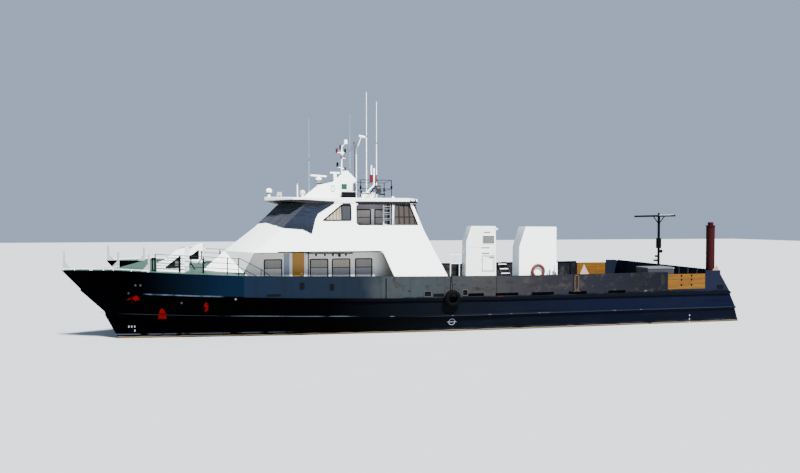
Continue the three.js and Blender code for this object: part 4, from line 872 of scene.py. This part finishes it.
def make_wings():
    """Trim round the wing openings, posts, ladders, and lamps under the roof's after corners."""
    opening = rounded(WING_OPENING)
    trim = Shape().frame(
        "XZ", inset(opening, -0.008), inset(opening, 0.01), *off_wall(SIDE_FOOT, 1, (-0.03, 0.006)))
    trim.leaned().pair("wing_trim", "grey")
    side_piece("wing_screen_ends", "screen", rectangle(1.545, 1.84, 5.2, 6.2), -0.06, -0.03)
    Shape().box(1.84, 1.93, 4.16, 4.22, UPPER_DECK, ROOF_UNDER).pair("wing_posts", "white")
    ladder, thick, first, rise = Shape(), 0.02, 0.28, 0.3
    for i in range(7):
        z = UPPER_DECK + first + rise * i
        ladder.box(1.92, 2.29, 3.66, 3.74, z - thick, z + thick)
    for x in (1.93, 2.28):
        ladder.box(x - 0.028, x + 0.028, 3.665, 3.735, UPPER_DECK + 0.01, 6.2)
    ladder.pair("wing_ladder_treads", "white")
    # Painted shade: black strips along the wing openings' tops and blue-grey caps over the wing windows, for
    # the shade under the roof
    header = [(1.06, 6.172), (3.60, 6.172), (3.66, 6.236), (1.06, 6.236)]
    side_piece("wing_soffit_shades", "black", header, -0.01, 0.008)
    cap = [(4.39, 6.15), (3.98, 6.15), (3.98, 6.225), (4.35, 6.225)]
    side_piece("wing_window_shade_caps", "pane_blue", cap, -0.01, 0.01)
    panel = Shape().box(1.80, 2.04, WHEEL_WALL - 0.03, WHEEL_WALL, UPPER_DECK + 0.002, ROOF_UNDER - 0.002)
    panel.pair("wheelhouse_corner_panels", "screen")
    pillar = Shape().box(2.70, 2.86, WHEEL_WALL - 0.01, WHEEL_WALL + 0.015, 5.0, 5.98)
    pillar.pair("wheelhouse_pillars", "white")
    lamp = Shape().box(0.78, 1.06, 4.262, 4.36, 6.26, 6.43).box(0.90, 0.94, 4.20, 4.27, 6.30, 6.38)
    lamp.pair("corner_lamps", "dark_rail", bevel=0.01)
    Shape().box(0.86, 1.04, 4.36, 4.372, 6.35, 6.42).pair("corner_lamp_lenses", "lens")


def make_passages():
    """Wall fittings inside the passages, and the beam and pipes under their tops; the black beam and the
    black lips along the openings' tops are painted shadow.
    """
    face, foot, top, hung = LOWER_WALL, 1.95, 3.9, 4.2
    # A flat bluish panel on the wall where its recess falls into shade: painted shade
    recess = Shape().prism("XZ", rectangle(6.86, 7.12, foot, 3.84, 0.03), face, face + 0.01)
    recess.pair("wall_recess_shades", "recess")
    frames = Shape().box(6.80, 6.85, face, face + 0.03, foot, top)
    frames.box(6.05, 6.11, face, face + 0.02, foot, top)
    frames.box(6.06, 6.74, face, face + 0.02, top - 0.015, top + 0.015).pair("door_frames", "white")
    Shape().box(5.93, 6.0, face, face + 0.015, foot, 3.86).pair("wall_strips", "beige")
    # The jambs are grey: painted shade on the white plates' edges
    jamb = [(2.44, 3.88), (2.50, 3.88), (2.02, 2.76), (1.96, 2.76)]
    side_piece("passage_jambs", "jamb", jamb, -0.32, -SIDE_PLATE - 0.002)
    # Black beam and lips: painted shadow under the passages' tops
    Shape().box(2.6, 8.2, 4.50, 4.61, 3.89, 3.945).pair("passage_shadow_beams", "black")
    lip = [(7.4, 3.92), (7.4, 3.955), (2.56, 3.955), (2.42, 3.90), (2.42, 3.86), (2.5, 3.92)]
    side_piece("passage_shadow_lips", "black", lip, -0.02, 0.006)
    run = [(6.1, face, 3.80), (6.02, 4.18, 3.83), (3.9, hung, 3.82), (3.84, face, 3.80)]
    pipes = Shape().tube(run, 0.022)
    clamp = [(0.01, -0.1), (0.045, -0.09), (0.05, 0.0), (0.045, 0.03), (0.01, 0.04)]
    for x in (5.62, 5.2, 4.82, 4.2):
        pipes.lathe(clamp, (x, hung, 3.80), sides=8)
    pipes.lathe([(0.03, -0.16), (0.07, -0.14), (0.07, -0.04), (0.03, 0.0)], (4.51, hung, 3.82), sides=10)
    pipes.pair("passage_pipes", "pipe")


# The side doors' outer faces, with the ends of their pale edges, and the levers
DOOR_FACE, DOOR_FOOT, DOOR_HEAD = 3.986, 1.97, 3.87
LEVER = {"x": 6.23, "z": 2.88, "out": 0.044, "long": 0.12, "radius": 0.012}
# After doors. Columns: body, x of the face, y and z of the lever
AFTER_DOORS = [("after_door", HOUSE_AFT, -0.28, 2.75), ("wheelhouse_door", WHEEL_AFT, -0.27, 4.95)]


def make_doors():
    """Handles and the small panes of the doors and hatches; each rides its own body."""
    x, z, radius = LEVER["x"], LEVER["z"], LEVER["radius"]
    for side, sign in SIDES:
        face, out = sign * DOOR_FACE, sign * (DOOR_FACE + LEVER["out"])
        lever = Shape().tube([(x, face, z), (x, out, z), (x + LEVER["long"], out, z)], radius)
        lever.piece("side_door_lever_" + side, "steel", "side_door_" + side)
        edges = Shape()
        for x0, x1 in ((6.725, 6.79), (6.12, 6.165)):
            edges.box(x0, x1, *off_wall(face, sign, (0, 0.003)), DOOR_FOOT, DOOR_HEAD)
        edges.piece("side_door_edges_" + side, "white", "side_door_" + side)
        catch = Shape().box(-6.28, -6.16, *off_wall(sign * CASING_INN, -sign, (0, 0.03)), 3.10, 3.14)
        catch.piece("casing_hatch_catch_" + side, "black", "casing_hatch_" + side)
        at, back = sign * ((HOOD_INN + HOOD_OUT) / 2 - 0.24), HOOD_AFT - 0.04
        low, high = 3.45, 3.65
        ends = [(HOOD_AFT, at, low), (back, at, low), (back, at, high), (HOOD_AFT, at, high)]
        pull = Shape().tube(ends, 0.01)
        pull.piece("hood_door_pull_" + side, "steel", "hood_door_" + side)
    for name, x, y, z in AFTER_DOORS:
        lever = Shape().tube([(x, y, z), (x - 0.045, y, z), (x - 0.045, y + 0.12, z)], radius)
        lever.piece(name + "_lever", "steel", name)
        outline = rectangle(-0.16, 0.16, z + 0.25, z + 0.75, 0.05)
        gasket = Shape().frame("YZ", inset(outline, -0.02), inset(outline, 0.02), x - 0.012, x)
        gasket.piece(name + "_gasket", "gasket", name)
        Shape().prism("YZ", inset(outline, 0.015), x - 0.006, x).piece(name + "_pane", "pane_dark", name)


# Canvas over the windscreen. Columns: height, x of the flat front, x of the corner, half-breadth there
FRONT = [(3.92, 9.96, 8.46, 4.678), (5.10, 8.48, 7.10, 4.4535), (6.24, 7.30, 6.00, 4.237)]
FRONT_FLAT = 2.3
COVER_TOP = 6.23
COVER_OFF = 0.018
# The after edge as height and x, and the hem as the share of the half girth and the height
COVER_AFT = [(4.77, 5.82), (5.49, 5.64), (5.73, 5.51), (6.23, 4.72)]
COVER_HEM = [(0.0, 4.77), (0.08, 4.98), (0.19, 5.02), (0.24, 5.05), (0.36, 5.17), (0.52, 5.30), (0.60, 5.25),
             (1.0, 5.24)]
# Shares of the half girth at the after edge, the side's fore end, the front's corner and the middle
COVER_MARKS = [0.0, 0.24, 0.60, 1.0]
COVER_BLEND = 0.035
COVER_STEPS = {"half_girth": 150, "height": 64}
# Swags under the visor. Columns: middle, half width, depth
SWAGS = [(0.42, 0.2, 0.2), (0.72, 0.22, 0.16), (0.95, 0.2, 0.22), (0.14, 0.12, 0.18)]


def between(table, at, column=1):
    """The value of a column at a place in a table that rises by its first column."""
    for low, high in zip(table, table[1:]):
        if at <= high[0] or high is table[-1]:
            share = min(1.0, max(0.0, (at - low[0]) / (high[0] - low[0])))
            return low[column] + (high[column] - low[column]) * share


def cover_path(share, z):
    """The place on the house under the canvas, and the outward direction; share runs from the after edge."""
    flat, corner, half = (between(FRONT, z, column) for column in (1, 2, 3))
    spots = ((between(COVER_AFT, z), half), (corner, half), (flat, FRONT_FLAT), (flat, 0))
    corners = [Vector(spot) for spot in spots]
    i = max(k for k in range(3) if share >= COVER_MARKS[k] or k == 0)
    along = (share - COVER_MARKS[i]) / (COVER_MARKS[i + 1] - COVER_MARKS[i])
    runs = [(b - a).normalized() for a, b in zip(corners, corners[1:])]
    normal = Vector((-runs[i].y, runs[i].x))
    for k in (0, 1):
        near = share - COVER_MARKS[k + 1]
        if abs(near) < COVER_BLEND:
            mixed = runs[k].lerp(runs[k + 1], 0.5 + near / COVER_BLEND / 2)
            normal = Vector((-mixed.y, mixed.x)).normalized()
    return corners[i].lerp(corners[i + 1], along), normal


def ridge(off, width):
    return math.exp(-(off / width) ** 2)


def cover_folds(share, down):
    """How far the canvas stands off, from its folds: swags under the visor, long folds from the corner."""
    swag = 0.0
    for middle, width, depth in SWAGS:
        across = (share - middle) / width
        if abs(across) < 1:
            sag = 1 - across * across
            for k in range(3):
                line = depth * sag * (1 + 0.8 * k) + 0.02
                swag += ridge(down - line, 0.022) * sag * (0.028 - 0.006 * k)
    fans = 0.0
    past = share - COVER_MARKS[1]
    for k in range(5):
        line = 0.25 + 0.10 * k + 0.30 * past * (1.4 - 0.2 * k) - 0.06 * math.sin(9 * share + k)
        fans += ridge(down - line, 0.02) * ridge(past - 0.09 - 0.03 * k, 0.2) * 0.022
    gathers = 0.008 * math.sin(share * 120) * math.exp(-share / 0.05)
    hem = 0.008 * math.sin(share * 64 + 1.5 * math.sin(share * 21)) * down ** 3
    rough = noise.noise(Vector((share * 14, down * 5, 3.0))) * 0.016
    fine = noise.noise(Vector((share * 46, down * 16, 9.0))) * 0.004
    return swag + fans + gathers + hem + rough + fine


def make_cover():
    """One continuous cloth from after edge to after edge; the starboard folds are moved a little."""
    columns, rows = COVER_STEPS["half_girth"], COVER_STEPS["height"]
    verts, faces = [], []
    for i in range(-columns, columns + 1):
        share, sign = 1 - abs(i) / columns, (1 if i <= 0 else -1)
        hem = between(COVER_HEM, share)
        for j in range(rows + 1):
            down = j / rows
            z = COVER_TOP + (hem - COVER_TOP) * down
            spot, normal = cover_path(share, z)
            off = COVER_OFF + max(-0.008, cover_folds(share + (0.013 if sign < 0 else 0.0), down))
            verts.append((spot.x + normal.x * off, sign * (spot.y + normal.y * off), z + 0.35 * off))
    for i in range(2 * columns):
        for j in range(rows):
            a, b = i * (rows + 1) + j, (i + 1) * (rows + 1) + j
            faces.append((a, b, b + 1, a + 1))
    cloth = Shape().add(verts, faces).piece("windscreen_canvas", "cover", crease=80)
    thick = cloth.modifiers.new("cloth", "SOLIDIFY")
    thick.thickness = 0.006
    thick.offset = -1.0
    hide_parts("windscreen_cover")


# The louvre in each casing's inner wall, and the hatch below it: x from, x to, z from, z to
LOUVRE = (-6.32, -5.54, 3.96, 4.47)
LOUVRE_SLATS = 8
HATCH = (-6.32, -5.50, 2.22, 3.21)
# Rain lips: dark brown, which is painted shadow of the lips on the casings. Columns: height, x from, x to
RAIN_LIPS = [(4.71, -6.05, -5.63), (3.72, -6.02, -5.44), (3.36, -6.0, -5.5)]
# Fittings on the bulwark's cap by the casing. Columns: x, top, radius
CAP_TOP = 2.67
CAP_FITTINGS = [(-6.0, 2.93, 0.03), (-6.19, 2.86, 0.035), (-6.32, 2.80, 0.03)]


def make_casings():
    """Louvres, seams, rain lips, lamps and rungs on the casings."""
    aft, fore, low, high = LOUVRE
    slats, lips, rungs, vents = (Shape() for _ in range(4))
    for i in range(LOUVRE_SLATS):
        z = low + (high - low) * (i + 0.5) / LOUVRE_SLATS
        section = [(3.852, z + 0.03), (3.834, z - 0.005), (3.834, z - 0.017), (3.852, z + 0.018)]
        slats.prism("YZ", section, aft + 0.01, fore - 0.01)
    slats.pair("louvre_slats", "grey")
    opening = rectangle(*LOUVRE)
    frames = Shape().frame("XZ", inset(opening, -0.03), opening, CASING_INN - 0.012, CASING_INN + 0.002)
    frames.pair("louvre_frames", "white")
    for z, x0, x1 in RAIN_LIPS:
        lips.box(x0, x1, CASING_INN - 0.03, CASING_INN, z - 0.012, z + 0.012)
    lips.pair("rain_lips", "brown_mat")
    seam = (CASING_INN - 0.004, CASING_INN + 0.001)
    seams = Shape().box(-5.44, -4.5, *seam, 3.745, 3.757).box(-6.24, -6.23, *seam, 1.9, 3.9)
    seams.pair("casing_seams", "beige")
    bulb = [(0.05, -0.07), (0.07, -0.05), (0.07, 0.05), (0.05, 0.07)]
    lamps = Shape().lathe(bulb, (CASING_AFT - 0.08, 3.95, 4.9), sides=10)
    lamps.box(CASING_AFT - 0.08, CASING_AFT + 0.04, 3.93, 3.97, 4.88, 4.92).pair("casing_lamps", "lens")
    for z in (4.66, 4.82, 4.98):
        rungs.tube([(-6.4, 4.3, z), (-6.5, 4.3, z), (-6.5, 4.62, z), (-6.4, 4.62, z)], 0.012)
    rungs.pair("casing_rungs", "white")
    leaf = rectangle(*HATCH)
    for side, sign in SIDES:
        face = sign * CASING_INN
        rim = Shape().frame("XZ", leaf, inset(leaf, 0.022), *off_wall(face, -sign, (0.035, 0.04)))
        rim.piece("casing_hatch_rim_" + side, "rim_grey", "casing_hatch_" + side)
        notice = Shape().box(-6.28, -5.98, *off_wall(face, -sign, (0.035, 0.042)), 3.085, 3.145)
        notice.piece("casing_hatch_notice_" + side, "recess", "casing_hatch_" + side)
    for x, top, radius in CAP_FITTINGS:
        vents.lathe([(radius, CAP_TOP), (radius, top)], (x, 4.84, 0), sides=10)
    vents.pair("cap_fittings", "box_grey")
    Shape().box(-6.41, -6.37, 4.82, 4.86, CAP_TOP, 3.3).pair("cap_stays", "white")


# The window in each side of a hood. Columns: x, z, radius of the corner
HOOD_WINDOW = [(12.38, 3.26, 0.02), (11.76, 3.76, 0.02), (11.76, 3.26, 0.02)]


def make_hood_panes():
    outline = rounded(HOOD_WINDOW)
    gasket, pane = Shape(), Shape()
    for face, outward in ((HOOD_OUT, 1), (HOOD_INN, -1)):
        depths = off_wall(face, outward, (-0.02, 0.015))
        gasket.frame("XZ", inset(outline, -0.02), inset(outline, GASKET), *depths)
        pane.prism("XZ", inset(outline, OVERLAP), *off_wall(face, outward, PANE_DEPTH))
    gasket.pair("hood_gaskets", "gasket")
    pane.pair("hood_panes", "pane_dark")
    blind = rectangle(11.80, 11.97, 3.33, 3.56, 0.05)
    Shape().prism("XZ", blind, HOOD_OUT - 0.012, HOOD_OUT - 0.008).pair("hood_blinds", "grey")


# Fittings on the bulwarks' outer faces. Columns: after end, fore end, low, high, radius of the corners
FAIRLEADS = [(-1.65, -1.42, 1.76, 2.02, 0.06), (0.18, 0.51, 1.75, 1.99, 0.06)]
# The sternmost of these black patches covers the quarter fairlead's opening: painted shade
SIDE_SLOTS = [
    (6.20, 6.42, 2.22, 2.53, 0.02), (4.84, 5.03, 2.14, 2.45, 0.02), (7.26, 7.89, 1.93, 2.03, 0.02),
    (-0.47, 0.06, 1.73, 1.87, 0.02), (-16.00, -15.60, 1.76, 1.975, 0.07),
]
# Seams of the plating. Columns: x, half width
SEAMS = [(2.38, 0.026), (-0.80, 0.014), (-3.16, 0.010)]
# Flaps of the freeing ports. Columns: x from, x to
FREEING = [(-2.55, -1.45), (-4.35, -3.05), (-6.25, -4.95), (-8.05, -6.95), (-10.25, -9.15)]
# The mat's outline. Columns: x, z, radius of the corner
BOARDING_MAT = [(-7.60, 1.83, 0.17), (-7.26, 1.83, 0.17), (-7.26, 2.70, 0.02), (-7.60, 2.70, 0.02)]
# Bolts on the gates: the places in x and z, and the profile as radius and height
BOLTS_X, BOLTS_Z = (-13.455, -14.06), (2.51, 2.30, 2.03)
BOLT = [(0.045, -0.01), (0.05, 0.01), (0.04, 0.025), (0.015, 0.03)]


def make_side_fittings():
    """Fairleads, slots, seams and boarding mats on the bulwarks, their flaps, and the gates' bolts."""
    rims, holes, slots, seams, flaps = (Shape() for _ in range(5))
    for ends in FAIRLEADS:
        hole = rectangle(*ends)
        rims.frame("XZ", inset(hole, -0.035), hole, HALF_BEAM, HALF_BEAM + 0.03)
        holes.prism("XZ", inset(hole, -0.01), HALF_BEAM, HALF_BEAM + 0.006)
    for ends in SIDE_SLOTS:
        slots.prism("XZ", rectangle(*ends), HALF_BEAM, HALF_BEAM + 0.008)
    for x, half in SEAMS:
        seams.box(x - half, x + half, HALF_BEAM, HALF_BEAM + 0.006, DECK_FOOT, 2.66)
    rims.pair("fairlead_rims", "rim_grey")
    # Black sheets over the fairleads' openings: painted shade
    holes.pair("fairlead_hole_shades", "black")
    slots.pair("side_slots", "black")
    seams.pair("bulwark_seams", "black")
    mat = rounded(BOARDING_MAT)
    Shape().prism("XZ", mat, HALF_BEAM, HALF_BEAM + 0.03).pair("boarding_mats", "brown_mat")
    edges = Shape().frame("XZ", inset(mat, 0.05), inset(mat, 0.08), HALF_BEAM + 0.028, HALF_BEAM + 0.045)
    edges.pair("boarding_mat_edges", "tan")
    bracket = Shape().prism("XZ", [(-8.14, 2.68), (-7.64, 2.68), (-7.86, 3.19)], 4.87, 4.90)
    bracket.piece("boarding_bracket", "beige")
    for x0, x1 in FREEING:
        flaps.box(x0, x1, 4.80, 4.815, DECK_FOOT, 1.85)
    flaps.pair("freeing_port_flaps", "flap")
    for side, sign in SIDES:
        bolts = Shape()
        for x in BOLTS_X:
            for z in BOLTS_Z:
                bolts.lathe([(r, sign * h) for r, h in BOLT], (x, sign * (HALF_BEAM - 0.005), z), "Y", 10)
        bolts.piece("gate_bolts_" + side, "black", "gate_" + side)


TYRE = {"at": (-0.85, 5.1256, 1.64), "radius": 0.285, "tube": 0.125, "blocks": 36}
HANGER_TOP = 2.756


def make_tyre():
    """The tyre over the port side, with its tread, and the bar that it hangs on."""
    at, radius, tube = TYRE["at"], TYRE["radius"], TYRE["tube"]
    section = []
    for a in angles(20):
        across, out = math.cos(a), math.sin(a)
        if out < -0.35 and abs(across) < 0.75:
            out = -0.45 - 0.1 * abs(across)
        swell = 0.98 * max(-0.98, out) * (1.0 if out < 0 else 0.97)
        section.append((radius + tube * swell, tube * 0.98 * across))
    tyre = Shape().torus(section, at, angles(48))
    foot, top = radius + tube * 0.80, radius + tube * 0.985
    for a in angles(TYRE["blocks"]):
        for off in (-0.055, 0.0, 0.055):
            block = Shape().box(-0.018, 0.018, off - 0.02, off + 0.02, foot, top)
            turn = Matrix.Rotation(a + (0.04 if off else 0.0), 3, "Y")
            tyre.add([turn @ v + Vector(at) for v in block.verts], block.faces)
    tyre = tyre.piece("tyre", "rubber", crease=40)
    x, top = at[0], HANGER_TOP
    ends = [(x, at[1], at[2] + 0.29), (x, 4.95, top + 0.012), (x, 4.93, top + 0.014), (x, 4.785, top + 0.014)]
    hanger = Shape().tube(ends, 0.014)
    for x in (at[0] - 0.04, at[0] + 0.04):
        hanger.tube([(x, 4.94, top - 0.02), (x, 4.94, top + 0.02), (x, 4.84, top + 0.02)], 0.01)
    hanger.piece("tyre_hanger", "black")
    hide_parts("tyre_fender")


BUOY = {"at": (-5.42, CASING_OUT + 0.0603, 2.86), "radius": 0.3, "tube": 0.06, "band": 0.2}


def make_lifebuoy():
    """The ring on the port casing, with four bands round it."""
    radius, tube, sections = BUOY["radius"], BUOY["tube"], []
    for wide, deep in ((1.25, 0.985), (1.27, 1.0)):
        sections.append([(radius + tube * wide * math.cos(a), tube * deep * math.sin(a)) for a in angles(16)])
    ring = Shape().torus(sections[0], BUOY["at"], angles(56)).piece("lifebuoy_ring", "orange", crease=50)
    bands = Shape()
    for quarter in angles(4):
        start = math.pi / 4 + quarter - BUOY["band"] / 2
        turns = [start + BUOY["band"] * k / 5 for k in range(6)]
        bands.torus(sections[1], BUOY["at"], turns, closed=False)
    bands.piece("lifebuoy_bands", "tan")
    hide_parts("lifebuoy")


SEARCHLIGHT = (0, 1.1, 7.06)
# The knobs where the roof rail's pipes meet
KNOBS_X, KNOBS_Y = (1.38, 3.05), (-1.1, 1.1)


def make_roof_gear():
    """Lamps on the visor, fittings of the mast housing, the searchlight and the horns' bracket."""
    lamps, brackets, lenses, knobs = (Shape() for _ in range(4))
    for y in (-0.35, 0.35):
        lamps.box(7.16, 7.40, y - 0.14, y + 0.14, 6.70, 6.92)
        brackets.box(7.26, 7.30, y - 0.17, y + 0.17, 6.58, 6.72)
        lenses.box(7.40, 7.41, y - 0.12, y + 0.12, 6.72, 6.90)
    lamps.piece("visor_lamps", "pale_rail")
    brackets.piece("visor_brackets", "black")
    lenses.piece("visor_lenses", "lens")
    plates = Shape().box(4.86, 5.34, -0.24, 0.24, 7.40, 7.44).box(5.02, 5.38, -0.17, 0.17, 7.56, 7.60)
    plates.piece("scanner_plates", "box_grey")
    handle = rectangle(4.37, 4.56, 6.98, 7.30, 0.03)
    Shape().frame("XZ", handle, inset(handle, 0.022), 0.42, 0.44).piece("housing_handles", "grey")
    Shape().box(3.70, 4.0, 0.42, 0.435, 7.12, 7.40).piece("housing_panel", "green_lamp")
    bulb = [(0.05, -0.04), (0.055, 0.0), (0.045, 0.06), (0.02, 0.08)]
    Shape().lathe(bulb, (4.42, 0.3, 7.56), sides=10).piece("housing_lamp", "green_lamp")
    for x in KNOBS_X:
        for y in KNOBS_Y:
            knobs.lathe([(0.03, 7.08), (0.055, 7.12), (0.055, 7.26), (0.03, 7.3)], (x, y, 0), sides=10)
    knobs.piece("roof_rail_joints", "black")
    face = Shape().lathe([(0.19, 2.231), (0.19, 2.238)], SEARCHLIGHT, "X", 20)
    face.piece("searchlight_glass", "mauve")
    drum = Shape().lathe([(0.225, 1.985), (0.24, 2.0), (0.24, 2.2), (0.225, 2.215)], SEARCHLIGHT, "X", 24)
    drum.piece("searchlight_shroud", "dark_mauve")
    run = [(2.24, 1.12, 7.26), (2.56, 1.12, 6.84), (2.98, 1.12, 6.84), (3.0, 1.12, 6.99)]
    yoke = Shape().tube(run, 0.035).box(1.72, 2.05, 1.06, 1.14, 6.79, 6.86)
    yoke.piece("searchlight_yoke", "black")
    stems = Shape().tube([(2.34, 1.16, 8.2), (2.34, 1.16, 7.3), (2.72, 1.16, 6.92)], 0.04)
    stems.tube([(2.47, 1.1, 7.8), (2.47, 1.1, 8.36)], 0.035).piece("lamp_stems", "white")
    fitting = Shape().lathe([(0.05, 8.78), (0.075, 8.8), (0.075, 9.04), (0.05, 9.06)], (3.96, 0, 0), sides=12)
    fitting.piece("mast_fitting", "mauve")
    cross = Shape()
    for x0, x1, z0, z1 in ((3.02, 3.40, 9.33, 9.38), (3.05, 3.08, 9.38, 9.52), (3.34, 3.37, 9.28, 9.44)):
        cross.box(x0, x1, -0.03, 0.03, z0, z1)
    cross.piece("horn_bracket", "grey")


# The stiffer lower lengths of the whip aerials. Columns: x, y, from, to, radius, paint
AERIAL_SLEEVES = [
    (2.57, 0.0, 6.7, 10.05, 0.024, "white"), (2.06, 0.3, 6.7, 9.66, 0.024, "white"),
    (5.63, -1.5, 6.7, 8.85, 0.026, "aerial_pale"), (3.33, -1.3, 6.7, 9.4, 0.028, "aerial_pale"),
]


def make_aerials():
    rings = Shape()
    for i, (x, y, low, high, radius, paint) in enumerate(AERIAL_SLEEVES):
        profile = [(radius, low), (radius * 0.9, high), (radius * 0.5, high + 0.04)]
        Shape().lathe(profile, (x, y, 0), sides=10).piece("aerial_sleeve_%d" % (i + 1), paint)
        rings.lathe([(radius + 0.012, high - 0.02), (radius + 0.012, high + 0.03)], (x, y, 0), sides=10)
    rings.piece("aerial_rings", "rim_grey")


# Dark sleeves on the posts of the foredeck's rails. Columns: x, foot, top, radius
POST_SLEEVES = [(12.81, 3.1, 3.72, 0.036), (12.92, 3.1, 3.66, 0.03), (11.75, 3.07, 3.8, 0.042),
                (10.73, 3.0, 3.62, 0.042)]
POST_OUT = 4.2


def make_post_sleeves():
    sleeves = Shape()
    for x, foot, top, radius in POST_SLEEVES:
        sleeves.lathe([(radius, foot), (radius, top)], (x, POST_OUT, 0), sides=12)
    sleeves.box(12.77, 12.96, POST_OUT - 0.05, POST_OUT + 0.05, 3.62, 3.72)
    sleeves.lathe([(0.07, 3.06), (0.07, 3.16), (0.04, 3.2)], (12.81, POST_OUT, 0), sides=12)
    sleeves.pair("post_sleeves", "black")


STERN_MAST, STERN_YARD = -15.54, 5.735
STERN_STIFFENERS = (0.82, 1.69, 2.46, 3.23)
# The stern mast's yard: black, its port half white as painted light where the sun catches it. Columns: side,
# paint, y from, y to
STERN_BARS = [("starboard", "black", -2.46, -0.06), ("port", "white", 0.06, 1.36)]


def make_deck_gear():
    """The deck box's lid and handles, and the lamps, yard, gusset and stiffeners at the stern."""
    Shape().box(-13.19, -11.62, 3.63, 4.72, 2.86, 2.945).piece("deck_box_lid", "box_lid", bevel=0.012)
    handles = Shape()
    for x in (-12.8, -12.0):
        a, b, inn, out, z = x - 0.08, x + 0.08, 3.64, 3.60, 2.6
        handles.tube([(a, inn, z), (a, out, z), (b, out, z), (b, inn, z)], 0.012)
    handles.piece("deck_box_handles", "black")
    drum = [(0.06, -0.1), (0.08, -0.07), (0.08, 0.07), (0.06, 0.1)]
    lamps = Shape().lathe(drum, (-15.72, 0, 3.56), sides=10)
    lamps.box(-15.72, STERN_MAST, -0.02, 0.02, 3.54, 3.58)
    lamps.box(-15.47, -15.32, -0.06, 0.06, 3.2, 3.32)
    lamps.box(-15.47, -15.22, -0.05, 0.05, 2.95, 3.06)
    bulb = [(0.05, -0.02), (0.06, 0.02), (0.05, 0.12), (0.02, 0.14)]
    lamps.lathe(bulb, (STERN_MAST, 0, 5.78), sides=10).piece("stern_lamps", "black")
    gusset = Shape().prism("XZ", [(-15.34, 2.68), (-15.86, 2.68), (-15.68, 3.02)], 4.80, 4.83)
    gusset.piece("quarter_gusset", "beige")
    for side, paint, y0, y1 in STERN_BARS:
        bar = Shape().tube([(STERN_MAST, y0, STERN_YARD), (STERN_MAST, y1, STERN_YARD)], 0.052)
        bar.piece("stern_bar_" + side, paint)
    stiffeners = Shape()
    for y in STERN_STIFFENERS:
        stiffeners.box(-15.775, -15.71, y - 0.03, y + 0.03, 1.68, 2.66)
    stiffeners.piece("stern_stiffeners", "jamb")


make_camera()
make_stage()
dress_nodes()
make_windows()
make_wing_windows()
make_wings()
make_passages()
make_doors()
make_cover()
make_casings()
make_hood_panes()
make_side_fittings()
make_tyre()
make_lifebuoy()
make_roof_gear()
make_aerials()
make_post_sleeves()
make_deck_gear()
